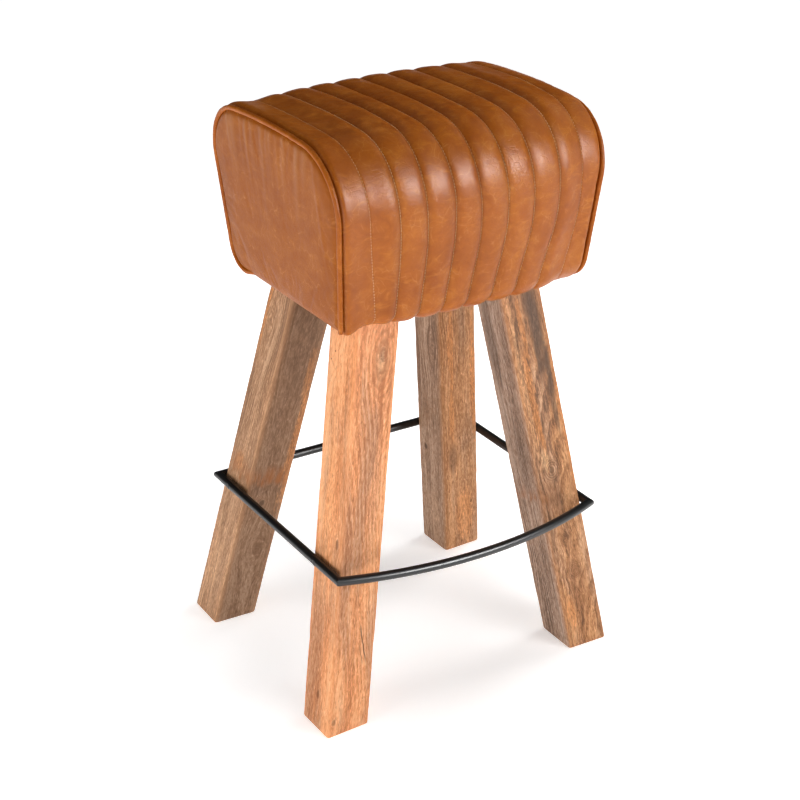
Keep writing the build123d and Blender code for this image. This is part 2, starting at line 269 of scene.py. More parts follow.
# ------------------------------------------------------------------ materials
def leather(name, dark=(0.254, 0.0555, 0.0044), mid=(0.362, 0.0925, 0.0066), light=(0.49, 0.153, 0.0155), seam=False, creases=1.0, gloss=0.22, gather=False):
    m = Nodes(name)
    p = m.coord()
    big = m.noise(p, 11.0, 4.0, 0.6, 0.6)
    cloud = m.noise(p, 42.0, 5.0, 0.62, 0.9)
    fine = m.noise(p, 230.0, 4.0, 0.6)
    v = m.math("MULTIPLY_ADD", big, 0.45, m.math("MULTIPLY", cloud, 0.42))
    v = m.math("MULTIPLY_ADD", fine, 0.13, v)
    col = m.ramp(v, [(0.30, dark), (0.50, mid), (0.72, light)])
    # rubbed lighter streaks where the hide has been stretched
    warp = m.vmath("ADD", p, m.vmath("SCALE", m.noise(p, 18.0, 2.0, color=True), scale=0.05))
    streak = m.noise(m.mapped(warp, scale=(1, 1, 3.2)), 34.0, 6.0, 0.68, 0.4)
    col = m.mix(m.step(streak, 0.51, 0.72, 0.0, 0.78), col, light)
    # thin scratches and veins
    vein = m.voronoi(m.mapped(warp, scale=(1.0, 1.0, 0.55), rot=(0.3, 0.4, 0.2)), 88.0, "DISTANCE_TO_EDGE")
    veins = m.math("MULTIPLY", m.step(vein, 0.0, 0.040, 1.0, 0.0), m.step(cloud, 0.46, 0.60))
    col = m.mix(m.math("MULTIPLY", veins, 0.34), col, (0.60, 0.25, 0.07))
    spots = m.voronoi(p, 150.0, "F1", 1.0)
    pick = m.noise(p, 63.0, 1.0)
    spot = m.math("MULTIPLY", m.step(spots, 0.05, 0.16, 1.0, 0.0), m.step(pick, 0.60, 0.68))
    col = m.mix(m.math("MULTIPLY", spot, 0.45), col, (0.16, 0.035, 0.006))
    if seam:
        # painted shade: darkens the colour along the seam creases and beside the welts, as the seam attribute marks
        s = m.attr("seam")
        col = m.mix(m.math("MULTIPLY", s, 0.55), col, (0.10, 0.022, 0.004))
    if gather:
        # painted sheen: the pulled folds are tinted lighter and greyer where light would catch their ridges
        col = m.mix(m.math("MULTIPLY", m.attr("gather"), 0.55), col, (0.41, 0.180, 0.072))
    pores = m.voronoi(p, 1150.0, "F1", 1.0)
    grain = m.voronoi(m.vmath("ADD", p, m.vmath("SCALE", m.noise(p, 400.0, 2.0, color=True), scale=0.0012)), 620.0, "DISTANCE_TO_EDGE")
    crease = m.voronoi(m.mapped(warp, scale=(1.0, 1.0, 1.9)), 95.0, "DISTANCE_TO_EDGE")
    cr = m.math("MULTIPLY", m.step(crease, 0.0, 0.10, -1.0, 0.0), m.step(big, 0.42, 0.62, 0.25, 1.0))
    n1 = m.bump(m.step(grain, 0.0, 0.16), 0.22, 0.00022)
    n2 = m.bump(m.step(pores, 0.0, 0.35), 0.16, 0.00012, n1)
    n3 = m.bump(cr, 0.28 * creases, 0.0006, n2)
    n4 = m.bump(m.noise(p, 120.0, 5.0, 0.6), 0.22, 0.0010, n3)
    rough = m.math("MULTIPLY_ADD", m.noise(p, 60.0, 5.0, 0.6), 0.18, 0.245)
    rough = m.math("MULTIPLY_ADD", m.step(grain, 0.0, 0.12, 1.0, 0.0), 0.07, rough)
    return m.finish(Base_Color=col, Roughness=rough, Normal=n4, Specular_IOR_Level=gloss)


def thread_material():
    m = Nodes("thread_waxed")
    p = m.coord()
    w = m.node("ShaderNodeTexWave", wave_type="BANDS", bands_direction="DIAGONAL")
    m.put(w.inputs["Vector"], p)
    w.inputs["Scale"].default_value = 900.0
    w.inputs["Distortion"].default_value = 1.5
    col = m.ramp(w.outputs["Fac"], [(0.0, (0.62, 0.34, 0.15)), (1.0, (0.94, 0.64, 0.35))])
    col = m.mix(m.step(m.noise(p, 90.0, 2.0), 0.4, 0.7, 0.0, 0.30), col, (0.42, 0.18, 0.07))
    return m.finish(Base_Color=col, Roughness=0.6, Normal=m.bump(w.outputs["Fac"], 0.5, 0.0001), Sheen_Weight=0.2)


def wood(name, tones, grey, pith, turn, freq, knots=(), cracks=(), patches=(), rail_band=None, fleck=1.0, streaks=0.5, face_shade=None):
    """tones: dark, mid, light; grey: the duller tint of its broad patches, which also tints one whole face as painted
    shade where face_shade is given. Grain coordinates are the leg's own:
    a and b across, l along, in metres."""
    m = Nodes(name)
    g = m.attr("grain", "Vector")
    a, b, l = m.sep(g)
    seed = 1.7 * (sum(ord(c) for c in name) % 23)
    low = m.vmath("SUBTRACT", m.noise(m.mapped(g, scale=(6, 6, 2.0), loc=(seed, 0, 0)), 1.0, 3.0, 0.5, color=True), (0.5, 0.5, 0.5))
    wig = m.vmath("SUBTRACT", m.noise(m.mapped(g, scale=(24, 24, 9), loc=(0, seed, 0)), 1.0, 3.0, 0.55, color=True), (0.5, 0.5, 0.5))
    q = m.vmath("ADD", g, m.vmath("MULTIPLY", low, (0.040, 0.040, 0.0)))
    q = m.vmath("ADD", q, m.vmath("MULTIPLY", wig, (0.0050, 0.0050, 0.0)))
    qa, qb, ql = m.sep(q)
    core_all, ring_all, push_all = None, None, None

    def face(axis, side):
        across, depth = (b, a) if axis == "a" else (a, b)
        return across, m.step(m.math("MULTIPLY", depth, side), 0.004, 0.024)

    def most(x, y):
        return y if x is None else m.math("MAXIMUM", x, y)

    for axis, ks, kl, kr, kst, kc, kd, kring, side in knots:
        across, near = face(axis, side)
        off = m.math("SUBTRACT", across, ks)
        dx = m.math("DIVIDE", off, kr)
        dl = m.math("DIVIDE", m.math("SUBTRACT", l, kl), kr * kst)
        e2 = m.math("ADD", m.math("MULTIPLY", dx, dx), m.math("MULTIPLY", dl, dl))
        push = m.math("MULTIPLY", m.math("POWER", 2.718, m.math("MULTIPLY", e2, -0.30)), near)
        delta = m.math("MULTIPLY", m.math("MULTIPLY", off, push), 0.85)
        if axis == "a":
            qb = m.math("SUBTRACT", qb, delta)
        else:
            qa = m.math("SUBTRACT", qa, delta)
        push_all = most(push_all, m.math("MULTIPLY", push, 0.4 + kr * 30))
        rough_e = m.math("ADD", e2, m.math("MULTIPLY", m.math("SUBTRACT", m.noise(g, 260.0, 2.0), 0.5), 0.5 * kc))
        core_all = most(core_all, m.math("MULTIPLY", m.math("MULTIPLY", m.step(rough_e, kc * 0.45, kc * 1.4, 1.0, 0.0), near), kd))
        if kring > 0:
            rr = m.math("FRACT", m.math("MULTIPLY", m.math("SQRT", m.math("ADD", e2, m.math("MULTIPLY", m.noise(g, 70.0, 2.0), 0.25))), 3.4))
            lines = m.math("MULTIPLY", m.step(rr, 0.15, 0.65), m.step(rr, 0.75, 1.0, 1.0, 0.0))
            lines = m.math("MULTIPLY", m.math("MULTIPLY", lines, m.step(e2, 0.8, 3.2, 1.0, 0.0)), m.math("MULTIPLY", near, kring))
            ring_all = most(ring_all, lines)
    q = m.comb(qa, qb, ql)
    da = m.math("MULTIPLY_ADD", ql, turn[0], m.math("SUBTRACT", qa, pith[0]))
    db = m.math("MULTIPLY_ADD", ql, turn[1], m.math("SUBTRACT", qb, pith[1]))
    r = m.math("SQRT", m.math("ADD", m.math("MULTIPLY", da, da), m.math("MULTIPLY", db, db)))
    ring = m.math("FRACT", m.math("MULTIPLY", r, freq))
    tooth = m.math("MULTIPLY", m.step(ring, 0.0, 0.75), m.step(ring, 0.80, 1.0, 1.0, 0.0))
    soft = m.noise(m.mapped(q, scale=(60, 60, 1.9), loc=(seed, seed, 0)), 1.0, 4.0, 0.6)
    fibre = m.noise(m.mapped(q, scale=(400, 400, 11), loc=(0, 0, seed)), 1.0, 5.0, 0.7)
    fine = m.noise(m.mapped(q, scale=(1150, 1150, 60)), 1.0, 4.0, 0.65)
    curl = m.noise(m.mapped(q, scale=(480, 480, 110), loc=(seed, 0, seed)), 1.0, 4.0, 0.65, 0.6)
    v = m.math("MULTIPLY_ADD", soft, 0.24, m.math("MULTIPLY", fibre, 0.22))
    v = m.math("MULTIPLY_ADD", fine, 0.20, v)
    v = m.math("MULTIPLY_ADD", curl, 0.34, v)
    rmask = m.step(m.noise(m.mapped(q, scale=(16, 16, 4), loc=(2, seed, 1)), 1.0, 2.0), 0.40, 0.60)
    v = m.math("MULTIPLY_ADD", m.math("MULTIPLY", tooth, rmask), 0.075, v)
    col = m.ramp(v, [(0.445, tones[2]), (0.52, tones[1]), (0.60, tones[0])])
    # duller heartwood patches, long and soft edged
    pat = m.noise(m.mapped(q, scale=(26, 26, 3.6), loc=(seed, 9, seed)), 1.0, 4.0, 0.55)
    amount = m.step(pat, 0.44, 0.62)
    # painted shade: where face_shade is given, the broad patches are weakened and the one face it names takes the grey
    # tint all over, darkening that side of the leg
    if face_shade is not None:
        axis, side, strength = face_shade
        depth = a if axis == "a" else b
        shaded_face = m.step(m.math("MULTIPLY_ADD", m.math("SUBTRACT", pat, 0.5), 0.004, m.math("MULTIPLY", depth, side)), 0.0280, 0.0310)
        amount = m.math("MAXIMUM", m.math("MULTIPLY", amount, 0.35), m.math("MULTIPLY", shaded_face, strength))
    ratio = tuple(gc / tc for gc, tc in zip(grey, tones[1]))
    col = m.mix(amount, col, m.mix(1.0, col, ratio, "MULTIPLY"))
    # long dark mineral streaks
    st = m.noise(m.mapped(q, scale=(120, 120, 2.4), loc=(seed, 3, 0)), 1.0, 4.0, 0.62)
    col = m.mix(m.step(st, 0.55, 0.70, 0.0, streaks), col, tuple(c * 0.55 for c in tones[0]))
    for axis, ps, pl, rs, rl, strength, tint, side in patches:
        across, near = face(axis, side)
        dx = m.math("DIVIDE", m.math("SUBTRACT", m.math("ADD", across, m.math("MULTIPLY", m.math("SUBTRACT", soft, 0.5), 0.02)), ps), rs)
        dl = m.math("DIVIDE", m.math("SUBTRACT", l, pl), rl)
        e2 = m.math("ADD", m.math("MULTIPLY", dx, dx), m.math("MULTIPLY", dl, dl))
        e2 = m.math("ADD", e2, m.math("MULTIPLY", m.math("SUBTRACT", m.math("MULTIPLY_ADD", curl, 0.5, m.math("MULTIPLY", fibre, 0.5)), 0.5), 4.5))
        figured = m.mix(m.step(curl, 0.36, 0.64, 1.0, 0.0), tuple(c * 0.72 for c in tint), tuple(min(1.0, c * 1.4) for c in tint))
        col = m.mix(m.math("MULTIPLY", m.math("MULTIPLY", m.step(e2, 0.15, 1.25, 1.0, 0.0), near), strength), col, figured)
    # short open pores, dark, and pale flecks between them
    pore = m.voronoi(m.mapped(g, scale=(560, 560, 70)), 1.0, "F1", 1.0)
    pored = m.math("MULTIPLY", m.step(pore, 0.10, 0.30, 1.0, 0.0), m.step(curl, 0.40, 0.58))
    col = m.mix(m.math("MULTIPLY", pored, 0.70 * fleck), col, tuple(c * 0.42 for c in tones[0]))
    pale = m.voronoi(m.mapped(g, scale=(470, 470, 85), loc=(5, 5, 5)), 1.0, "F1", 1.0)
    pale_on = m.math("MULTIPLY", m.step(pale, 0.06, 0.40, 1.0, 0.0), m.step(curl, 0.56, 0.40, 0.0, 1.0))
    col = m.mix(m.math("MULTIPLY", pale_on, 0.75 * fleck), col, m.mix(1.0, col, (1.55, 1.62, 1.75), "MULTIPLY"))
    if ring_all is not None:
        col = m.mix(ring_all, col, tuple(c * 0.60 for c in tones[0]))
    if core_all is not None:
        col = m.mix(core_all, col, tuple(c * 0.26 for c in tones[0]))
    dark_lines = None
    for axis, s0, l0, s1, l1, hw, strength, side in cracks:
        across, near = face(axis, side)
        u = m.math("DIVIDE", m.math("SUBTRACT", l, l0), (l1 - l0))
        cx = m.math("MULTIPLY_ADD", u, s1 - s0, s0)
        bend = m.math("MULTIPLY", m.math("SUBTRACT", m.noise(m.mapped(g, scale=(1, 1, 60)), 1.0, 2.0), 0.5), 0.004)
        dd = m.math("ABSOLUTE", m.math("SUBTRACT", across, m.math("ADD", cx, bend)))
        taper = m.math("MULTIPLY", m.step(u, 0.0, 0.25), m.step(u, 0.75, 1.0, 1.0, 0.0))
        c = m.math("MULTIPLY", m.math("MULTIPLY", m.step(m.math("DIVIDE", dd, hw), 0.3, 1.2, 1.0, 0.0), taper), strength)
        dark_lines = most(dark_lines, m.math("MULTIPLY", c, near))
    if dark_lines is not None:
        col = m.mix(dark_lines, col, tuple(c * 0.18 for c in tones[0]))
    if rail_band is not None:
        # a rust brown band in patches on the wood, just above the foot rail
        lo_, hi_, how = rail_band
        wob = m.math("MULTIPLY", m.math("SUBTRACT", m.noise(m.mapped(g, scale=(70, 70, 20)), 1.0, 3.0), 0.5), 0.03)
        ll = m.math("ADD", l, wob)
        band = m.math("MULTIPLY", m.step(ll, lo_, lo_ + 0.010), m.step(ll, hi_ - 0.030, hi_, 1.0, 0.0))
        patch = m.step(m.noise(m.mapped(g, scale=(90, 90, 18), loc=(seed, 1, 2)), 1.0, 4.0), 0.40, 0.66)
        col = m.mix(m.math("MULTIPLY", m.math("MULTIPLY", band, patch), how), col, (0.34, 0.115, 0.030))
    wear = m.attr("edge")
    col = m.mix(m.math("MULTIPLY", wear, 0.30), col, tuple(min(1, c * 1.10) for c in tones[1]))
    h = m.math("MULTIPLY_ADD", pored, -0.8, m.math("MULTIPLY", fibre, 0.6))
    n1 = m.bump(h, 0.30, 0.0003)
    n2 = m.bump(m.math("MULTIPLY_ADD", tooth, 0.3, curl), 0.22, 0.0005, n1)
    if dark_lines is not None:
        n2 = m.bump(m.math("MULTIPLY", dark_lines, -1.0), 0.9, 0.0012, n2)
    if core_all is not None:
        n2 = m.bump(m.math("MULTIPLY", core_all, -1.0), 0.4, 0.0008, n2)
    rough = m.math("MULTIPLY_ADD", fibre, 0.18, 0.50)
    return m.finish(Base_Color=col, Roughness=rough, Normal=n2, Specular_IOR_Level=0.22)


def black_paint():
    m = Nodes("rail_black_satin")
    p = m.coord()
    peel = m.noise(p, 420.0, 3.0, 0.55)
    chips = m.math("MULTIPLY", m.step(m.noise(p, 55.0, 5.0, 0.7), 0.66, 0.72), m.step(m.noise(p, 210.0, 3.0), 0.5, 0.6))
    col = m.mix(m.math("MULTIPLY", chips, 0.35), (0.0075, 0.0075, 0.0080), (0.045, 0.040, 0.036))
    dust = m.step(m.noise(p, 90.0, 6.0, 0.7), 0.5, 0.8)
    col = m.mix(m.math("MULTIPLY", dust, 0.12), col, (0.05, 0.047, 0.044))
    rough = m.math("MULTIPLY_ADD", m.noise(p, 80.0, 5.0, 0.65), 0.22, 0.24)
    return m.finish(Base_Color=col, Roughness=rough, Normal=m.bump(peel, 0.12, 0.0004), Specular_IOR_Level=0.5,
                    Coat_Weight=0.15, Coat_Roughness=0.25)


def metal(name, tint, rough0=0.32):
    m = Nodes(name)
    p = m.coord()
    brushed = m.noise(m.mapped(p, scale=(1, 1, 9)), 220.0, 5.0, 0.7)
    spot = m.noise(p, 70.0, 5.0, 0.65)
    col = m.mix(m.step(spot, 0.45, 0.75, 0.0, 0.5), tint, tuple(c * 0.6 for c in tint))
    return m.finish(Base_Color=col, Roughness=m.math("MULTIPLY_ADD", brushed, 0.25, rough0), Metallic=1.0,
                    Normal=m.bump(brushed, 0.15, 0.0003))


def plywood():
    m = Nodes("plywood_sheet")
    p = m.coord()
    ply = m.node("ShaderNodeTexWave", wave_type="BANDS", bands_direction="Z")
    m.put(ply.inputs["Vector"], p)
    ply.inputs["Scale"].default_value = 160.0
    ply.inputs["Distortion"].default_value = 0.3
    grain = m.noise(m.mapped(p, scale=(6, 140, 140)), 1.0, 5.0, 0.65, 0.3)
    col = m.ramp(grain, [(0.3, (0.36, 0.22, 0.11)), (0.7, (0.62, 0.44, 0.26))])
    col = m.mix(m.math("MULTIPLY", m.step(ply.outputs["Fac"], 0.55, 0.75), 0.25), col, (0.25, 0.14, 0.07))
    return m.finish(Base_Color=col, Roughness=0.72, Normal=m.bump(grain, 0.3, 0.0005), Specular_IOR_Level=0.3)


def foam_material():
    m = Nodes("foam_cut")
    p = m.coord()
    cells = m.voronoi(p, 900.0, "F1", 1.0)
    col = m.ramp(m.noise(p, 40.0, 3.0), [(0.3, (0.72, 0.66, 0.42)), (0.7, (0.82, 0.77, 0.55))])
    col = m.mix(m.step(cells, 0.1, 0.4, 0.3, 0.0), col, (0.45, 0.38, 0.2))
    return m.finish(Base_Color=col, Roughness=0.95, Normal=m.bump(cells, 0.6, 0.0005), Specular_IOR_Level=0.1)


def cloth_material():
    m = Nodes("dust_cloth_weave")
    p = m.coord()
    x, y, _ = m.sep(p)
    wx = m.math("SINE", m.math("MULTIPLY", x, 4200.0))
    wy = m.math("SINE", m.math("MULTIPLY", y, 4200.0))
    weave = m.math("MULTIPLY_ADD", m.math("MULTIPLY", wx, wy), 0.5, 0.5)
    fuzz = m.noise(p, 60.0, 5.0, 0.65)
    col = m.mix(m.math("MULTIPLY", weave, 0.6), (0.010, 0.010, 0.011), (0.030, 0.029, 0.028))
    col = m.mix(m.step(fuzz, 0.55, 0.75, 0.0, 0.3), col, (0.05, 0.047, 0.043))
    return m.finish(Base_Color=col, Roughness=0.92, Normal=m.bump(weave, 0.5, 0.0003), Sheen_Weight=0.2, Specular_IOR_Level=0.2)


LEATHER_SEAT = leather("leather_channels", seam=True)
# the end panel leather is the seat leather with its colours lowered, painted shade on that end
LEATHER_END = leather("leather_end_panel", dark=(0.234, 0.056, 0.0040), mid=(0.290, 0.0750, 0.0054), light=(0.362, 0.107, 0.0110), creases=0.5, gloss=0.09, gather=True)
LEATHER_WELT = leather("leather_welt", dark=(0.26, 0.058, 0.006), mid=(0.355, 0.090, 0.0076), light=(0.47, 0.138, 0.017), creases=0.5, gloss=0.13)
THREAD = thread_material()
BLACK = black_paint()
ZINC = metal("zinc_plated", (0.62, 0.63, 0.64))
BRASS = metal("insert_brass", (0.70, 0.50, 0.22))
PLY = plywood()
FOAM = foam_material()
DUST = cloth_material()

# ------------------------------------------------------------------ seat outline
ZB, ZT, WB, WT, CROWN, RS = 543.6, 771.9, 135.2, 161.6, 11.5, 74.0
END_X, END_SLOPE = 195.6, 0.072


def lean(z, side=None):
    """Distance of an end panel from the middle; the right end is a little more upright than the left."""
    z = np.asarray(z) - 720.0
    if side is None:
        return END_X + END_SLOPE * z
    return np.where(np.asarray(side) < 0, 197.4 + 0.094 * z, 193.6 + 0.045 * z)


def half_outline(wb, wt, zt, rb, rs=RS):
    """From the bottom corner's start up to the middle of the top, on the front (-y) side."""
    zs = zt - CROWN
    R = (wt * wt + CROWN * CROWN) / (2 * CROWN)
    cz = zt - R
    A, B = np.array([-wb, ZB]), np.array([-wt, zs])
    d = (B - A) / np.linalg.norm(B - A)
    ang = math.acos(d[0])
    tt = rb / math.tan(ang / 2)
    c = A + np.array([tt, rb])
    sA = A + d * tt
    a1 = math.atan2(sA[1] - c[1], sA[0] - c[0])
    if a1 > 0:
        a1 -= 2 * math.pi
    t = np.linspace(-math.pi / 2, a1, 26)
    arc = np.stack([c[0] + rb * np.cos(t), c[1] + rb * np.sin(t)], 1)
    n = np.array([d[1], -d[0]])
    lo, hi = 40.0, 270.0
    for _ in range(60):
        mid = (lo + hi) / 2
        q = A + d * mid + n * rs - np.array([0, cz])
        if math.hypot(*q) > R - rs:
            hi = mid
        else:
            lo = mid
    cc = A + d * lo + n * rs
    p1 = A + d * lo
    dc = cc - np.array([0, cz])
    dc /= np.linalg.norm(dc)
    p2 = np.array([0, cz]) + dc * R
    b0 = math.atan2(p1[1] - cc[1], p1[0] - cc[0])
    b1 = math.atan2(p2[1] - cc[1], p2[0] - cc[0])
    if b0 < 0:
        b0 += 2 * math.pi
    t = np.linspace(b0, b1, 80)
    sh = np.stack([cc[0] + rs * np.cos(t), cc[1] + rs * np.sin(t)], 1)
    t = np.linspace(math.atan2(p2[1] - cz, p2[0]), math.pi / 2, 60)
    top = np.stack([R * np.cos(t), cz + R * np.sin(t)], 1)
    t = np.linspace(0, 1, 60)[:, None]
    side = sA + (p1 - sA) * t
    return np.vstack([arc, side[1:], sh[1:], top[1:]])


def outline(so, to, rb_front, rb_back, n, add=0.0, rs_back=RS, back=0.0):
    """n evenly spaced points (y, z), front bottom to back bottom; add offsets the whole line outward."""
    wb, wt, zt = WB + so, WT + so, ZT + to
    f = half_outline(wb, wt, zt, rb_front)
    b = half_outline(wb, wt + back, zt, rb_back, rs_back)
    full = np.vstack([f, (b * [-1, 1])[::-1][1:]])
    if add:
        t = np.gradient(full, axis=0)
        t /= np.linalg.norm(t, axis=1, keepdims=True)
        full = full + np.stack([-t[:, 1], t[:, 0]], 1) * add
    L = np.r_[0, np.cumsum(np.linalg.norm(np.diff(full, axis=0), axis=1))]
    s = np.linspace(0, L[-1], n)
    return np.stack([np.interp(s, L, full[:, 0]), np.interp(s, L, full[:, 1])], 1), L[-1]


def fullness(x):
    """How far the padding stands above the end outline along the seat, 0 at the ends to 1 in the middle."""
    return np.clip(hermite(np.abs(x), [0, 50, 95, 140, 176, 192, 210], [1.0, 0.94, 0.78, 0.42, 0.08, 0.0, 0.0]), 0, 1)


N_TAB = 721
# the stuffing rises towards the right end
TOP_X = [-200, -176, -140, -95, -50, 0, 50, 95, 140, 174, 196, 201]
TOP_RISE = [0.4, 1.9, 3.4, 5.2, 6.4, 7.6, 8.7, 9.0, 10.0, 9.0, 0.8, 0.0]
X_TAB = np.arange(-212.0, 212.1, 2.0)
TAB = np.zeros((len(X_TAB), N_TAB, 2))
GIRTH = np.zeros(len(X_TAB))
for i, x in enumerate(X_TAB):
    k = float(fullness(x))
    rbf = float(5.0 + 16.0 * smoothstep(-172, -148, x)) + float(15.0 * smoothstep(120, 185, x))
    rbb = 21.0 + float(10.0 * smoothstep(120, 185, x)) + float(11.0 * smoothstep(-120, -185, x))
    left_back = float(smoothstep(-110, -185, x))
    right_back = float(smoothstep(110, 185, x))
    rise = float(hermite(min(max(x, -200.0), 200.0), TOP_X, TOP_RISE))
    TAB[i], GIRTH[i] = outline(-0.8 + 7.8 * k, rise, rbf, rbb, N_TAB,
                                rs_back=RS - 4.0 * left_back - 8.0 * right_back, back=1.5 * left_back)


def seat_point(x, s):
    """Valley surface of the seat at x (mm) and girth fraction s, both arrays."""
    x, s = np.broadcast_arrays(np.asarray(x, float), np.asarray(s, float))
    u = np.clip((x - X_TAB[0]) / 2.0, 0, len(X_TAB) - 1.001)
    i = u.astype(int)
    f = (u - i)[..., None]
    w = np.clip(s * (N_TAB - 1), 0, N_TAB - 1.001)
    j = w.astype(int)
    g = (w - j)[..., None]
    p = (TAB[i, j] * (1 - g) + TAB[i, j + 1] * g) * (1 - f) + (TAB[i + 1, j] * (1 - g) + TAB[i + 1, j + 1] * g) * f
    return np.stack([x, p[..., 0], p[..., 1]], -1)


# seams between the channels: x at knots of the girth fraction
SEAM_S = [0.0, 0.02, 0.17, 0.26, 0.32, 0.38, 0.48, 0.60, 0.70, 0.83, 0.98, 1.0]
SEAM_X = [
    [-132.5, -134, -149, -157, -161.6, -164.7, -166.4, -164.5, -163.6, -157.5, -146.5, -146.0],
    [-106.3, -107, -109, -118, -121, -124, -125.5, -124.0, -124.0, -119.0, -109.5, -109.0],
    [-73.2, -73, -71.5, -80.6, -82.4, -83, -83, -83.6, -84.2, -80.0, -73.2, -73.0],
    [-39.0, -38, -32, -40, -44.5, -48, -50.5, -48.0, -44.6, -40.5, -36.5, -36.5],
    [-4.0, -3, 6, -4, -7.8, -9.6, -10.4, -8.0, -4.0, -1.0, 0.0, 0.0],
    [33.0, 34, 46, 36.7, 32, 29, 27.7, 33.0, 36.8, 38.5, 36.5, 36.5],
    [70.0, 71, 86, 76.6, 72.3, 69.4, 68.7, 73.5, 77.0, 78.0, 73.0, 73.0],
    [107.5, 108, 126, 119, 117, 115.5, 116, 118.0, 118.2, 117.5, 109.5, 109.0],
    [145.0, 146, 162, 157.4, 156.2, 156, 160, 160.5, 159.0, 157.0, 146.0, 145.5],
]


def end_x(side, s):
    """x of the cover's edge beside the end panel, at girth fraction s."""
    x = np.full_like(np.asarray(s, float), side * 195.0)
    for _ in range(4):
        z = seat_point(x, s)[..., 2]
        x = side * (lean(z, side) - 2.6)
    return x


def seam_lines(s):
    rows = [end_x(-1, s)] + [hermite(s, SEAM_S, sx) for sx in SEAM_X] + [end_x(1, s)]
    return np.stack(rows, 1)            # (rows, 11)


# how full each channel is beside its left and right seam (mm above the valley)
FULL_L = [4.6, 1.2, 4.0, 4.8, 5.0, 5.2, 5.2, 5.0, 4.4, 1.6]
FULL_R = [1.2, 4.0, 4.8, 5.0, 5.2, 5.2, 5.0, 4.4, 1.6, 3.6]


def cover_grid(s, tcols, crown=1.0):
    """(rows, cols, 3) surface, its smooth base, normals, and the distance from the nearest seam in mm."""
    lines = seam_lines(s)
    nt = len(tcols)
    xs, hs, ds, es = [], [], [], []
    for c in range(10):
        t = tcols if c == 9 else tcols[:-1]
        x0, x1 = lines[:, c][:, None], lines[:, c + 1][:, None]
        x = x0 + (x1 - x0) * t[None, :]
        w = x1 - x0
        u = np.abs(2 * t - 1)[None, :]
        full = FULL_L[c] + (FULL_R[c] - FULL_L[c]) * smoothstep(0.15, 0.85, t)[None, :]
        h = full * (1 - u ** 3.1) * np.ones_like(w)
        dl, dr = t[None, :] * w, (1 - t[None, :]) * w
        if c == 0:
            h = full * (1 - np.where(t[None, :] < 0.5, u ** 8.0, u ** 3.1)) - 6.0 * np.exp(-(dl / 3.7) ** 2)
        if c == 9:
            h = full * (1 - np.where(t[None, :] > 0.5, u ** 7.0, u ** 3.1)) - 6.3 * np.exp(-(dr / 4.0) ** 2)
        xs.append(x)
        hs.append(h * crown)
        ds.append(np.minimum(dl if c > 0 else 99 + dl, dr if c < 9 else 99 + dr))
        es.append(np.minimum(dl if c == 0 else 99 + dl, dr if c == 9 else 99 + dr))
    X, H, D, E = (np.concatenate(a, 1) for a in (xs, hs, ds, es))
    base = seat_point(X, s[:, None] * np.ones_like(X))
    n = normals_of(base)
    return base, n, H, D, E


def resample(arr, rows_new, axis):
    """Catmull-Rom resampling of evenly spaced samples along an axis; rows_new in index units."""
    a = np.moveaxis(arr, axis, 0)
    n = len(a)
    i = np.clip(np.floor(rows_new).astype(int), 0, n - 2)
    t = (rows_new - i).reshape(-1, *([1] * (a.ndim - 1)))
    p0, p1, p2, p3 = a[np.clip(i - 1, 0, n - 1)], a[i], a[i + 1], a[np.clip(i + 2, 0, n - 1)]
    out = 0.5 * ((2 * p1) + (p2 - p0) * t + (2 * p0 - 5 * p1 + 4 * p2 - p3) * t ** 2 + (3 * p1 - p0 - 3 * p2 + p3) * t ** 3)
    return np.moveaxis(out, 0, axis)


def simulate(ob, pin, pressure, slack, stiff=18.0, bend=0.6, frames=20):
    """Inflate a fixed-edge leather sheet; returns its vertices in metres."""
    vg = ob.vertex_groups.new(name="pin")
    pin = np.asarray(pin, float)
    for w in np.unique(pin):
        if w > 0:
            vg.add([int(i) for i in np.nonzero(pin == w)[0]], float(w), "REPLACE")
    md = ob.modifiers.new("cloth", "CLOTH")
    st = md.settings
    st.quality = 8
    st.mass = 0.25
    st.air_damping = 2.0
    st.tension_stiffness = st.compression_stiffness = stiff
    st.shear_stiffness = stiff * 0.6
    st.bending_stiffness = bend
    st.tension_damping = st.compression_damping = st.shear_damping = 8.0
    st.use_pressure = True
    st.uniform_pressure_force = pressure
    st.shrink_min = slack
    st.vertex_group_mass = "pin"
    st.pin_stiffness = 1.0
    st.effector_weights.gravity = 0.0
    md.collision_settings.use_self_collision = False
    md.point_cache.frame_start = 1
    md.point_cache.frame_end = frames
    for f in range(1, frames + 1):
        SC.frame_set(f)
    dg = bpy.context.evaluated_depsgraph_get()
    ev = ob.evaluated_get(dg)
    co = np.zeros(len(ev.data.vertices) * 3)
    ev.data.vertices.foreach_get("co", co)
    ob.modifiers.remove(md)
    SC.frame_set(1)
    return co.reshape(-1, 3)


# ------------------------------------------------------------------ seat cover
rows_c = 150
s_c = np.linspace(0, 1, rows_c)
t_c = np.linspace(0, 1, 9)
sim_disp = None
base, nrm, H, D, E = cover_grid(s_c, t_c, crown=0.8)
start = base + nrm * H[..., None]
cols = start.shape[1]
tmp = mesh_object("cover_sim", start.reshape(-1, 3), grid_faces(rows_c, cols, flip=True))
pin = np.zeros((rows_c, cols))
pin[:, ::8] = 1.0
pin[:2, :] = pin[-2:, :] = 1.0
res = simulate(tmp, pin.ravel(), 5.0, -0.006, stiff=25.0, bend=3.0)
disp = (res - metres(start.reshape(-1, 3))) * 1000.0
size = np.linalg.norm(disp, axis=1)
cap = 4.0
disp *= np.where(size > cap, cap / np.maximum(size, 1e-9), 1.0)[:, None]
sim_disp = disp.reshape(rows_c, cols, 3)
along = (sim_disp * nrm).sum(-1)
print("cover sim: mean %.2f max %.2f mm, along normal mean %.2f, spread %.2f" % (
    size.mean(), size.max(), along.mean(), along.std()))
bpy.data.objects.remove(tmp)

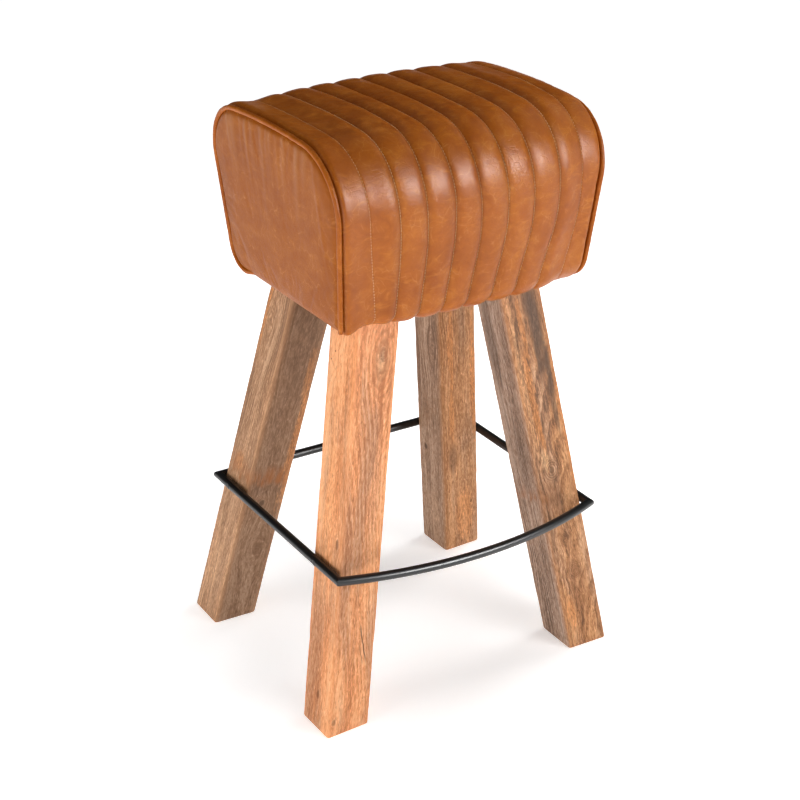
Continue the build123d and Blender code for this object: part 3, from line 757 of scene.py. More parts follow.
NT = 22
tj = np.arange(NT + 1) / NT
t_f = 0.5 - 0.5 * np.cos(np.pi * tj)
t_f = 0.72 * t_f + 0.28 * tj
ROWS = 441
s_f = np.linspace(0, 1, ROWS)
base, nrm, H, D, E = cover_grid(s_f, t_f)
COLS = base.shape[1]
G = float(np.interp(0, X_TAB, GIRTH))
if sim_disp is not None:
    # carry the simulated puffing and puckers over to the fine grid
    cols_idx = np.concatenate([c * 8 + (t_f if c == 9 else t_f[:-1]) * 8 for c in range(10)])
    d = resample(sim_disp, np.linspace(0, rows_c - 1, ROWS), 0)
    d = resample(d, cols_idx, 1)
    along = (d * nrm).sum(-1, keepdims=True)
    d = d - nrm * along
    along_m = along[..., 0].mean()
    # keep the channels as full as measured, and let the simulation shape them
    relief = along[..., 0] - resample(resample(along[..., 0], np.linspace(0, ROWS - 1, 24), 0), np.linspace(0, 23, ROWS), 0)
    H = H * 0.97 + along[..., 0] * 0.15 + relief * 0.30 * (1 - 0.9 * smoothstep(0.46, 0.58, np.linspace(0, 1, ROWS))[:, None])
    base = base + d * 0.30
X = base[..., 0]
S = s_f[:, None] * np.ones_like(X)
# the hide runs from the top into the front shoulder in one easy curve
step_mm, ease_mm = G / (ROWS - 1), 17.0
reach_rows = int(3 * ease_mm / step_mm)
kernel = np.exp(-0.5 * (np.arange(-reach_rows, reach_rows + 1) * step_mm / ease_mm) ** 2)
kernel /= kernel.sum()
longer = np.concatenate([np.repeat(base[:1], reach_rows, 0), base, np.repeat(base[-1:], reach_rows, 0)], 0)
eased = np.zeros_like(base)
for i, kw in enumerate(kernel):
    eased += kw * longer[i:i + ROWS]
ease = smoothstep(0.15, 0.24, S) * smoothstep(0.56, 0.46, S) * smoothstep(188.0, 140.0, np.abs(X))
base = base + (eased - base) * ease[..., None]
nrm = normals_of(base)
H = H + 1.4 * ease
# hand made unevenness of the padding, puckers beside the seams, and short creases across the channels
flat = np.stack([X.ravel() / 38.0, S.ravel() * G / 55.0, np.zeros(X.size)], 1)
H = H + 0.35 * value_noise(flat, 3).reshape(X.shape) * smoothstep(0, 9, D)
puck = value_noise(np.stack([X.ravel() / 22.0, S.ravel() * G / 7.5, np.ones(X.size)], 1), 11).reshape(X.shape)
H = H + 0.26 * puck * (1 - 0.6 * smoothstep(0.50, 0.62, S)) * np.exp(-D / 5.0) * smoothstep(0.0, 2.2, D)
cre = value_noise(np.stack([X.ravel() / 26.0 + 0.15 * S.ravel() * G / 20, S.ravel() * G / 5.2, 2 + np.zeros(X.size)], 1), 23).reshape(X.shape)
mask = smoothstep(-0.1, 0.6, value_noise(np.stack([X.ravel() / 60.0, S.ravel() * G / 60.0, 4 + np.zeros(X.size)], 1), 31).reshape(X.shape))
low = smoothstep(0.30, 0.05, S) * 0.8 + smoothstep(0.80, 0.97, S) * 0.6 + 0.08
H = H + 0.20 * cre * mask * low * smoothstep(0, 4, D)
# the stitched line itself sits in a narrow crease
H = H - 0.3 * np.exp(-(D / 0.9) ** 2)
cover = base + nrm * H[..., None]

# the edge is turned under the seat
FL = 12
front_in = np.linspace(0, 1, FL + 1)[1:]
fr, bk = cover[0], cover[-1]


def flange(edge, y_end):
    rows = []
    for f in front_in:
        p = edge.copy()
        p[:, 1] = edge[:, 1] + (y_end - edge[:, 1]) * f
        p[:, 2] = edge[:, 2] + (544.1 - edge[:, 2]) * smoothstep(0, 0.45, f)
        lim = float(lean(544.0, -1)) - 3.0
        p[:, 0] = np.clip(p[:, 0], -lim, lim)
        rows.append(p)
    return rows


all_rows = np.array(flange(fr, -86.5)[::-1] + list(cover) + flange(bk, 86.5))
R_ALL = len(all_rows)
D_all = np.concatenate([np.repeat(D[:1], FL, 0), D, np.repeat(D[-1:], FL, 0)], 0)
E_all = np.concatenate([np.repeat(E[:1], FL, 0), E, np.repeat(E[-1:], FL, 0)], 0)
seat = mesh_object("seat_cover_quilted", all_rows.reshape(-1, 3), grid_faces(R_ALL, COLS, flip=True))
# painted shade: the seam creases and the cover's edges beside the welts are darkened in the colour
painted_seam_shade = np.exp(-(D_all / 1.6) ** 1.5) * 0.14 + np.exp(-(E_all / 3.0) ** 2) * 0.6
# painted shade beside each seam: to the left of it on the long side, behind it on the top
phase = (np.arange(COLS) % NT) / NT
seam_no = np.clip(np.round(np.arange(COLS) / NT), 1, 9).astype(int)
how_much = np.array([0, 0.2, 0.9, 1.0, 1.0, 1.0, 1.0, 1.0, 0.8, 0.35])[seam_no]
S_all = np.concatenate([np.zeros((FL, COLS)), S, np.ones((FL, COLS))], 0)
side_shade = smoothstep(0.40, 0.27, S_all) * np.exp(-(D_all / 6.0) ** 1.3) * (phase > 0.5) * 0.95
top_shade = smoothstep(0.30, 0.42, S_all) * smoothstep(0.78, 0.60, S_all) * np.exp(-(D_all / 6.0) ** 1.4) * ((phase < 0.5) & (np.arange(COLS) > NT / 2)) * 0.62
painted_seam_shade = painted_seam_shade + (side_shade + top_shade) * how_much
scalar_attr(seat, "seam", np.clip(painted_seam_shade, 0, 1))
sol = seat.modifiers.new("leather", "SOLIDIFY")
sol.thickness = 0.0013
sol.offset = -1.0
seat.data.materials.append(LEATHER_SEAT)

# ------------------------------------------------------------------ stitches
PITCH, LONG, RAD = 4.0, 2.9, 0.55
verts, faces = [], []
ring = 6
prof = [(-1.0, 0.25, -0.45), (-0.82, 0.8, -0.05), (-0.4, 1.0, 0.16), (0.0, 1.02, 0.2), (0.4, 1.0, 0.16), (0.82, 0.8, -0.05), (1.0, 0.25, -0.45)]
seam_cols = [c * NT for c in range(1, 10)]
rng = np.random.default_rng(7)
for ci in seam_cols:
    line = cover[:, ci]
    nn = nrm[:, ci]
    lift = 0.95 if ci in (NT, 9 * NT) else 1.5
    L = np.r_[0, np.cumsum(np.linalg.norm(np.diff(line, axis=0), axis=1))]
    n_st = int(L[-1] / PITCH)
    for q in range(n_st):
        c0 = (q + 0.5) * PITCH + rng.normal(0, 0.10)
        ll = LONG * (1 + rng.normal(0, 0.05)) / 2
        ids = c0 + np.array([p[0] for p in prof]) * ll
        if ids[0] < 1 or ids[-1] > L[-1] - 1:
            continue
        P = np.stack([np.interp(ids, L, line[:, a]) for a in range(3)], 1)
        N = np.stack([np.interp(c0, L, nn[:, a]) for a in range(3)])
        N /= np.linalg.norm(N)
        T = P[-1] - P[0]
        T /= np.linalg.norm(T)
        Bn = np.cross(T, N)
        tilt = rng.normal(0, 0.12)
        v0 = len(verts)
        for (u, rr, hh), pp in zip(prof, P):
            cen = pp + N * (lift + hh * 0.8) + Bn * tilt * u
            for a in range(ring):
                an = 2 * math.pi * a / ring
                verts.append(cen + (Bn * math.cos(an) + N * math.sin(an)) * RAD * rr)
        for r_ in range(len(prof) - 1):
            for a in range(ring):
                a2 = (a + 1) % ring
                faces.append((v0 + r_ * ring + a, v0 + r_ * ring + a2, v0 + (r_ + 1) * ring + a2, v0 + (r_ + 1) * ring + a))
        faces.append(tuple(v0 + a for a in range(ring))[::-1])
        faces.append(tuple(v0 + (len(prof) - 1) * ring + a for a in range(ring)))
stitch = mesh_object("seam_stitches", np.array(verts), faces)
stitch.data.materials.append(THREAD)


# ------------------------------------------------------------------ end panels, pads and welts
def end_outline(side, inset, n=400):
    """Closed outline (y, z) of an end panel, inset from the seat's outline; starts at the front bottom."""
    if side < 0:
        pts, L = outline(0.0, 0.0, 5.0, 32.0, n, add=-inset, rs_back=RS - 4.0, back=1.5)
    else:
        pts, L = outline(0.0, 0.0, 36.0, 31.0, n, add=-inset, rs_back=RS - 8.0)
    return pts


def end_xyz(side, y, z, out=0.0):
    return np.stack([side * (lean(z, side) + out), y, z], -1)


def panel_mesh(side, spacing, inset, lip):
    """Triangulated sheet in flat coordinates (y, v); v below zero is the lip turned under the seat."""
    pts = end_outline(side, inset, 260)
    pts = pts.copy()
    zb = pts[:, 1].min()
    y0, y1 = pts[0, 0], pts[-1, 0]
    v = pts[:, 1] - ZB
    loop = [(float(y), float(w)) for y, w in zip(pts[:, 0], v)]
    if lip > 0:
        k = max(2, int(lip / spacing))
        ny = int(abs(y1 - y0) / spacing)
        loop += [(float(y1), float(v[-1] - lip * i / k)) for i in range(1, k + 1)]
        loop += [(float(y1 + (y0 - y1) * i / ny), float(v[0] - lip)) for i in range(1, ny)]
        loop += [(float(y0), float(v[0] - lip * (k - i) / k)) for i in range(0, k)]
    else:
        ny = int(abs(y1 - y0) / spacing)
        loop += [(float(y1 + (y0 - y1) * i / ny), float(v[0])) for i in range(1, ny)]
    poly = np.array(loop)
    # thin the outline to the wanted spacing
    closed = np.vstack([poly, poly[:1]])
    L = np.r_[0, np.cumsum(np.linalg.norm(np.diff(closed, axis=0), axis=1))]
    n = int(L[-1] / spacing)
    q = np.linspace(0, L[-1], n + 1)[:-1]
    poly = np.stack([np.interp(q, L, closed[:, 0]), np.interp(q, L, closed[:, 1])], 1)
    nb = len(poly)
    lo, hi = poly.min(0), poly.max(0)
    ys = np.arange(lo[0] + spacing / 2, hi[0], spacing)
    zs = np.arange(lo[1] + spacing / 2, hi[1], spacing * 0.866)
    g = []
    for i, z in enumerate(zs):
        for y in ys:
            g.append((y + (spacing / 2 if i % 2 else 0), z))
    g = np.array(g)
    # keep points inside the outline and clear of it
    x1, y1_ = poly[:, 0], poly[:, 1]
    x2, y2_ = np.roll(x1, -1), np.roll(y1_, -1)
    inside = np.zeros(len(g), bool)
    near = np.full(len(g), 1e9)
    for a, b, c, d_ in zip(x1, y1_, x2, y2_):
        cond = ((b > g[:, 1]) != (d_ > g[:, 1]))
        with np.errstate(divide="ignore", invalid="ignore"):
            xi = (c - a) * (g[:, 1] - b) / (d_ - b) + a
        inside ^= cond & (g[:, 0] < xi)
        near = np.minimum(near, np.hypot(g[:, 0] - a, g[:, 1] - b))
    g = g[inside & (near > spacing * 0.62)]
    allp = [Vector(p) for p in np.vstack([poly, g])]
    edges = [(i, (i + 1) % nb) for i in range(nb)]
    v2, e2, f2, _, _, _ = delaunay_2d_cdt(allp, edges, [], 1, 1e-5)
    return np.array([tuple(p) for p in v2]), [tuple(f) for f in f2], nb


def fold(side, yv, out, r=3.0):
    """Flat coordinates to the leaning end plane, with the lip turned under through a small radius."""
    y, v = yv[:, 0], yv[:, 1]
    q = r * math.pi / 2
    z = np.where(v >= r, ZB + v, ZB)
    x_in = np.zeros_like(v)
    zone = (v < r) & (v > r - q)
    a = np.clip((r - v) / r, 0, math.pi / 2)
    z = np.where(v < r, ZB + r - r * np.sin(a), z)
    x_in = np.where(v < r, r - r * np.cos(a), 0.0)
    x_in = np.where(v <= r - q, r + (r - q - v), x_in)
    return np.stack([side * (lean(z, side) - x_in), y, z], -1)


def edge_distance(p, poly):
    d = np.full(len(p), 1e9)
    for a in poly:
        d = np.minimum(d, np.hypot(p[:, 0] - a[0], p[:, 1] - a[1]))
    return d


piping_path = {}
for side, nm in ((-1, "left"), (1, "right")):
    sp = 3.4
    yv, tris, nb = panel_mesh(side, sp, 1.2, 34.0)
    P = fold(side, yv, 0.0)
    if side > 0:
        tris = [t[::-1] for t in tris]
    tmp = mesh_object("panel_tmp", P, tris)
    # outward facing
    tmp.data.update()
    nx = np.mean([f.normal.x for f in tmp.data.polygons if f.center.z > 0.6])
    if nx * side < 0:
        tris = [t[::-1] for t in tris]
        bpy.data.objects.remove(tmp)
        tmp = mesh_object("panel_tmp", P, tris)
    on_plane = yv[:, 1] > 3.0
    bd = edge_distance(yv, yv[:nb])
    face_poly = np.vstack([end_outline(side, 1.2, 300) - [0, ZB]])
    bd2 = np.minimum(edge_distance(yv, face_poly), np.maximum(yv[:, 1] - 1.0, 0))
    pin = ((np.arange(len(yv)) < nb) | (yv[:, 1] < 2.5)).astype(float)
    res = simulate(tmp, pin, 1.6, -0.012, stiff=12.0, bend=0.8)
    dv = (res - metres(P)) * 1000.0
    size = np.linalg.norm(dv, axis=1)
    print("panel sim", nm, "mean %.2f max %.2f" % (size.mean(), size.max()))
    cap = 6.0
    dv *= np.where(size > cap, cap / np.maximum(size, 1e-9), 1.0)[:, None]
    P = P + dv * 0.35
    bpy.data.objects.remove(tmp)
    # gathers hanging from the top edge, each with its own strength, width and length
    yy = yv[:, 0] * (1 + 0.0012 * (228 - yv[:, 1])) + 3.0 * value_noise(np.stack([yv[:, 0] / 50, yv[:, 1] / 45, np.zeros(len(yv))], 1), 5)
    depth_top = 228.0 - yv[:, 1] - 0.0016 * yv[:, 0] ** 2
    g1 = np.zeros(len(yv))
    gr = np.random.default_rng(21 if side < 0 else 22)
    for gy in np.arange(-126, 128, 15.0):
        c = gy + gr.uniform(-7, 7)
        wd = gr.uniform(3.0, 7.5)
        reach = gr.uniform(22, 72)
        g1 += gr.uniform(0.10, 0.95) * np.exp(-((yy - c) / wd) ** 2) * np.exp(-(np.maximum(depth_top - 6, 0) / reach) ** 1.6)
    # painted sheen along the gathers, faded out near the panel's edge
    gather_sheen = np.clip(g1, 0, 1) * smoothstep(0.5, 9, bd2)
    g1 = (g1 - 0.15) * smoothstep(0.5, 9, bd2)
    side_fold = np.exp(-((yv[:, 0] * (1 if side < 0 else 1) + 108 + 0.1 * (228 - yv[:, 1])) / 3.2) ** 2) * smoothstep(40, 130, yv[:, 1]) * 0.55
    soft = 0.4 * value_noise(np.stack([yv[:, 0] / 48, yv[:, 1] / 60, np.full(len(yy), 2.0)], 1), 17) * smoothstep(0, 30, bd2)
    tuckin = -2.6 * np.exp(-(edge_distance(yv, face_poly) / 2.6) ** 2)
    plump = 2.4 * smoothstep(1.0, 8.0, bd2)
    P[:, 0] += side * (g1 + side_fold + soft + plump) * on_plane + side * tuckin * smoothstep(2, 8, yv[:, 1])
    ob = mesh_object("end_panel_leather_" + nm, P, tris)
    scalar_attr(ob, "gather", gather_sheen)
    sub = ob.modifiers.new("sub", "SUBSURF")
    sub.levels = sub.render_levels = 1
    so = ob.modifiers.new("leather", "SOLIDIFY")
    so.thickness = 0.0013
    so.offset = -1.0
    ob.data.materials.append(LEATHER_END)
    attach(ob, "root")
    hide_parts("end_panel_" + nm)
    # pad behind the panel
    yv, tris, nb = panel_mesh(side, 7.0, 7.0, 0.0)
    P = end_xyz(side, yv[:, 0], yv[:, 1] + ZB + 0.0, -3.2)
    P[:, 2] = np.maximum(P[:, 2], 546.5)
    bd = edge_distance(yv, yv[:nb])
    P[:, 0] += side * (0.6 * smoothstep(0, 40, bd) - 0.8 * (1 - smoothstep(0, 10, bd)))
    pd = mesh_object("end_pad_foam_" + nm, P, tris)
    pd.data.update()
    if np.mean([f.normal.x for f in pd.data.polygons]) * side < 0:
        bpy.data.objects.remove(pd)
        pd = mesh_object("end_pad_foam_" + nm, P, [t[::-1] for t in tris])
    so = pd.modifiers.new("thick", "SOLIDIFY")
    so.thickness = 0.0058
    so.offset = -1.0
    pd.data.materials.append(FOAM)
    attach(pd, "root")
    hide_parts("end_pad_" + nm)

    # welt: leather folded over a cord, following the outline
    path = end_outline(side, -0.35, 420)
    p3 = end_xyz(side, path[:, 0], path[:, 1], -0.1)
    ext_b = []
    for q in (3, 6, 9, 12, 15, 18, 21, 24, 27, 30, 33):
        e = p3[-1].copy()
        e[1] -= q
        e[2] += 5.0 * float(smoothstep(0, 30, q))
        e[0] -= side * 3.0 * float(smoothstep(0, 30, q))
        ext_b.append(e)
    pre = []
    if side > 0:
        for q in (33, 30, 27, 24, 21, 18, 15, 12, 9, 6, 3):
            e = p3[0].copy()
            e[1] += q
            e[2] += 5.0 * float(smoothstep(0, 30, q))
            e[0] -= side * 3.0 * float(smoothstep(0, 30, q))
            pre.append(e)
    else:
        # the front left end runs straight down to a cut end
        keep = p3[:, 2] > ZB + 6.0
        keep[len(p3) // 2:] = True
        p3 = p3[keep]
        d = p3[0] - p3[3]
        d /= np.linalg.norm(d)
        pre = [p3[0] + d * q for q in (6.0, 4.0, 2.0)]
    line = np.array(pre + list(p3) + ext_b)
    T = np.gradient(line, axis=0)
    T /= np.linalg.norm(T, axis=1, keepdims=True)
    out_n = np.stack([np.full(len(line), float(side)), np.zeros(len(line)), np.full(len(line), -END_SLOPE)], 1)
    out_n /= np.linalg.norm(out_n, axis=1, keepdims=True)
    side_n = np.cross(T, out_n)
    side_n *= np.sign((side_n * (line - [0, 0, 650])).sum(1).mean()) or 1
    NR = 18
    ang = np.linspace(0, 2 * math.pi, NR, endpoint=False)
    Ls = np.r_[0, np.cumsum(np.linalg.norm(np.diff(line, axis=0), axis=1))]
    lump = 0.14 * value_noise(np.stack([Ls / 9, np.zeros(len(Ls)), np.full(len(Ls), side)], 1), 41)
    rad = 3.25 + lump
    body = []
    for a in ang:
        # a little flatter on the panel's face, with a soft ridge towards the seam
        rr = rad * (1 - 0.06 * math.cos(a) ** 2) * (1 + 0.10 * max(0.0, -math.sin(a)) ** 3)
        body.append(line + out_n * (math.cos(a) * rr)[:, None] + side_n * (math.sin(a) * rr)[:, None])
    body = np.stack(body, 1)
    pts = list(body.reshape(-1, 3)) + [line[0], line[-1]]
    fc = [tuple(f) for f in grid_faces(len(line), NR, close_cols=True)]
    i0, i1 = len(body) * NR, len(body) * NR + 1
    for a in range(NR):
        a2 = (a + 1) % NR
        fc.append((i0, a2, a))
        fc.append((i1, (len(line) - 1) * NR + a, (len(line) - 1) * NR + a2))
    wl = mesh_object("welt_" + nm, np.array(pts), fc)
    bm = bmesh.new()
    bm.from_mesh(wl.data)
    bmesh.ops.recalc_face_normals(bm, faces=bm.faces)
    bm.to_mesh(wl.data)
    bm.free()
    wl.data.materials.append(LEATHER_WELT)
    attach(wl, "root")
    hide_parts("piping_" + nm)

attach(seat, "root")
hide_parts("seat_cover")
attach(stitch, "root")
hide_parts("seam_thread")

# ------------------------------------------------------------------ foam under the leather
ns, nx_ = 90, 40
sf = np.linspace(0.035, 0.965, ns)
xf = np.linspace(-1, 1, nx_)
outer = []
for u in xf:
    x = u * 176.0
    p = seat_point(np.full(ns, x), sf)
    outer.append(p)
outer = np.stack(outer, 1)
nf = normals_of(outer)
swell = 1.1 * value_noise(np.stack([outer[..., 0].ravel() / 60, outer[..., 1].ravel() / 60, outer[..., 2].ravel() / 60], 1), 77).reshape(outer.shape[:2])
outer = outer - nf * (4.2 + 0.4 * swell)[..., None]
lim = lean(outer[..., 2]) - 14.0
outer[..., 0] = np.clip(outer[..., 0] * 1.0, -lim, lim)
box_path = np.array([(-115.0, 566.0), (-115.0, 702.0), (115.0, 702.0), (115.0, 566.0)])
L = np.r_[0, np.cumsum(np.linalg.norm(np.diff(box_path, axis=0), axis=1))]
q = np.linspace(0, L[-1], ns)
inner = outer.copy()
inner[..., 1] = np.interp(q, L, box_path[:, 0])[:, None]
inner[..., 2] = np.interp(q, L, box_path[:, 1])[:, None]
fv = np.concatenate([outer.reshape(-1, 3), inner.reshape(-1, 3)])
n0 = ns * nx_
ff = [tuple(f) for f in grid_faces(ns, nx_, flip=True)] + [tuple(f) for f in grid_faces(ns, nx_, start=n0)]
for r_ in range(ns - 1):
    for c in (0, nx_ - 1):
        a, b = r_ * nx_ + c, (r_ + 1) * nx_ + c
        ff.append((a, b, b + n0, a + n0) if c == 0 else (b, a, a + n0, b + n0))
for c in range(nx_ - 1):
    for r_ in (0, ns - 1):
        a, b = r_ * nx_ + c, r_ * nx_ + c + 1
        ff.append((b, a, a + n0, b + n0) if r_ == 0 else (a, b, b + n0, a + n0))
foam = mesh_object("seat_foam_body", fv, ff)
foam.data.materials.append(FOAM)
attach(foam, "root")
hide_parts("seat_foam")

# ------------------------------------------------------------------ legs
LEG, FOOT_X, FOOT_Y, SPX, SPY, LEG_TOP = 63.0, 200.0, 158.3, 0.1723, 0.1570, 545.0
TONES = {
    "front_left": ((0.52, 0.172, 0.056), (0.80, 0.320, 0.124), (0.94, 0.48, 0.235)),
    "back_left": ((0.29, 0.140, 0.066), (0.50, 0.255, 0.125), (0.74, 0.43, 0.240)),
    "back_right": ((0.22, 0.088, 0.032), (0.41, 0.183, 0.071), (0.62, 0.32, 0.146)),
    "front_right": ((0.165, 0.068, 0.026), (0.43, 0.180, 0.066), (0.68, 0.345, 0.150)),
}
GREY = {
    "front_left": (0.55, 0.235, 0.105),
    "back_left": (0.225, 0.119, 0.063),
    "back_right": (0.33, 0.190, 0.110),
    "front_right": (0.345, 0.205, 0.130),
}
# which face of each leg is darkened all over as painted shade: face axis, face side, strength
FACE_SHADE = {"front_left": None, "back_left": ("b", -1, 1.0), "back_right": ("a", -1, 0.9), "front_right": ("a", -1, 1.0)}
# sizes in metres, in the leg's own coordinates
PITH = {"front_left": (-0.055, 0.075), "back_left": (0.06, 0.09), "back_right": (-0.08, 0.05), "front_right": (0.045, 0.062)}
TURN = {"front_left": (0.02, -0.03), "back_left": (-0.03, 0.05), "back_right": (0.03, 0.02), "front_right": (0.05, -0.06)}
FREQ = {"front_left": 330.0, "back_left": 300.0, "back_right": 280.0, "front_right": 300.0}
# face axis, across, along, radius, stretch, core share, core darkness, ring strength, face side
KNOTS = {
    "front_left": [("b", 0.0102, 0.494, 0.0150, 2.4, 0.010, 0.15, 0.30, -1), ("a", -0.0208, 0.253, 0.0045, 2.4, 0.45, 0.70, 0.15, -1),
                   ("a", 0.0143, 0.498, 0.0013, 1.0, 0.9, 0.85, 0.0, -1), ("a", 0.0223, 0.4866, 0.0012, 1.0, 0.9, 0.85, 0.0, -1),
                   ("a", -0.0015, 0.042, 0.0040, 2.4, 0.45, 0.60, 0.25, -1), ("b", -0.024, 0.012, 0.0050, 1.4, 0.40, 0.45, 0.20, -1)],
    "back_left": [("b", -0.0029, 0.2066, 0.0060, 1.25, 0.50, 0.80, 0.35, -1), ("b", 0.006, 0.130, 0.0150, 1.9, 0.02, 0.15, 0.30, -1),
                  ("a", 0.010, 0.470, 0.0120, 2.0, 0.02, 0.10, 0.20, -1)],
    "back_right": [("a", 0.0129, 0.195, 0.0045, 1.7, 0.45, 0.75, 0.25, -1), ("b", 0.018, 0.090, 0.0030, 1.6, 0.5, 0.6, 0.2, -1),
                   ("a", -0.012, 0.400, 0.0110, 2.2, 0.02, 0.10, 0.22, -1)],
    "front_right": [("b", -0.0037, 0.2775, 0.0095, 1.2, 0.08, 0.30, 0.50, -1), ("b", -0.0039, 0.1705, 0.0062, 1.2, 0.10, 0.35, 0.45, -1),
                    ("b", 0.0023, 0.1159, 0.0085, 1.1, 0.03, 0.15, 0.40, -1)],
}
# face axis, start across, start along, end across, end along, half width, strength, face side
CRACKS = {
    "front_left": [("b", 0.0044, 0.150, 0.0201, 0.086, 0.0010, 0.85, -1), ("b", 0.0060, 0.120, 0.0150, 0.085, 0.0007, 0.5, -1)],
    "back_left": [], "back_right": [("b", 0.004, 0.400, -0.004, 0.330, 0.0008, 0.4, -1)],
    "front_right": [("a", 0.004, 0.470, 0.010, 0.390, 0.0012, 0.55, -1), ("a", -0.006, 0.430, -0.001, 0.330, 0.0010, 0.45, -1),
                    ("a", 0.012, 0.300, 0.008, 0.160, 0.0012, 0.50, -1), ("a", -0.012, 0.240, -0.008, 0.120, 0.0010, 0.40, -1)],
}
DARKER = (0.085, 0.046, 0.026)
BROWN = (0.26, 0.105, 0.040)
ORANGE = (0.54, 0.200, 0.052)
RUST = (0.46, 0.165, 0.040)
PATCHES = {
    "front_left": [("b", 0.0105, 0.494, 0.0125, 0.033, 0.60, (0.36, 0.155, 0.062), -1), ("b", 0.0095, 0.497, 0.0062, 0.019, 0.80, (0.60, 0.32, 0.16), -1),
                   ("b", 0.0092, 0.4955, 0.0008, 0.0014, 0.9, (0.12, 0.05, 0.02), -1),
                   ("b", 0.010, 0.33, 0.010, 0.110, 0.35, (0.50, 0.26, 0.14), -1), ("a", 0.004, 0.30, 0.010, 0.16, 0.30, (0.74, 0.29, 0.10), -1)],
    # painted shadow: the first back_left patch darkens the whole upper -y face just under the seat, where the seat's
    # shadow falls
    "back_left": [("b", 0.000, 0.470, 0.034, 0.100, 0.55, (0.16, 0.086, 0.048), -1), ("b", -0.012, 0.350, 0.012, 0.080, 0.35, (0.20, 0.11, 0.065), -1),
                  ("b", 0.026, 0.300, 0.007, 0.110, 0.55, ORANGE, -1), ("b", 0.022, 0.410, 0.006, 0.050, 0.35, ORANGE, -1),
                  ("b", -0.010, 0.235, 0.012, 0.030, 0.35, (0.20, 0.11, 0.065), -1),
                  ("a", 0.027, 0.490, 0.006, 0.070, 0.65, ORANGE, -1), ("a", 0.004, 0.256, 0.012, 0.018, 0.50, RUST, -1)],
    "back_right": [("b", -0.013, 0.400, 0.0060, 0.100, 0.55, RUST, -1), ("b", -0.014, 0.275, 0.0055, 0.060, 0.50, RUST, -1),
                   ("b", 0.025, 0.330, 0.0055, 0.120, 0.65, ORANGE, -1), ("b", 0.008, 0.420, 0.007, 0.060, 0.40, (0.20, 0.10, 0.05), -1),
                   ("b", -0.014, 0.190, 0.009, 0.030, 0.55, (0.17, 0.082, 0.038), -1), ("b", 0.006, 0.070, 0.018, 0.060, 0.45, ORANGE, -1),
                   ("a", 0.008, 0.275, 0.010, 0.028, 0.60, (0.22, 0.105, 0.05), -1), ("a", -0.004, 0.070, 0.014, 0.050, 0.30, (0.46, 0.26, 0.14), -1)],
    "front_right": [("b", 0.004, 0.500, 0.030, 0.060, 0.35, (0.22, 0.11, 0.05), -1), ("b", 0.0130, 0.480, 0.0095, 0.075, 0.85, DARKER, -1), ("b", 0.0215, 0.415, 0.0040, 0.045, 0.85, DARKER, -1),
                    ("b", 0.0180, 0.370, 0.0030, 0.050, 0.65, DARKER, -1), ("b", 0.006, 0.522, 0.010, 0.022, 0.60, DARKER, -1),
                    ("b", -0.0085, 0.480, 0.0034, 0.060, 0.62, RUST, -1), ("b", -0.0120, 0.385, 0.0050, 0.075, 0.62, RUST, -1),
                    ("b", -0.0100, 0.320, 0.0030, 0.050, 0.62, RUST, -1), ("b", -0.0200, 0.430, 0.0060, 0.130, 0.40, (0.62, 0.33, 0.15), -1),
                    ("b", -0.0120, 0.296, 0.0070, 0.018, 0.60, (0.62, 0.36, 0.18), -1), ("b", 0.026, 0.330, 0.0040, 0.130, 0.55, ORANGE, -1),
                    ("b", -0.0110, 0.236, 0.014, 0.030, 0.60, BROWN, -1), ("b", 0.004, 0.085, 0.012, 0.050, 0.40, BROWN, -1),
                    ("b", -0.018, 0.052, 0.008, 0.030, 0.50, ORANGE, -1),
                    ("a", 0.012, 0.470, 0.012, 0.070, 0.50, DARKER, -1), ("a", -0.004, 0.300, 0.010, 0.060, 0.40, DARKER, -1)],
}
STREAK = {"front_left": 0.10, "back_left": 0.25, "back_right": 0.35, "front_right": 0.65}
RAIL_BAND = {"front_left": (0.230, 0.258, 0.6), "back_left": (0.230, 0.275, 0.8), "back_right": (0.230, 0.250, 0.3), "front_right": (0.228, 0.262, 0.75)}

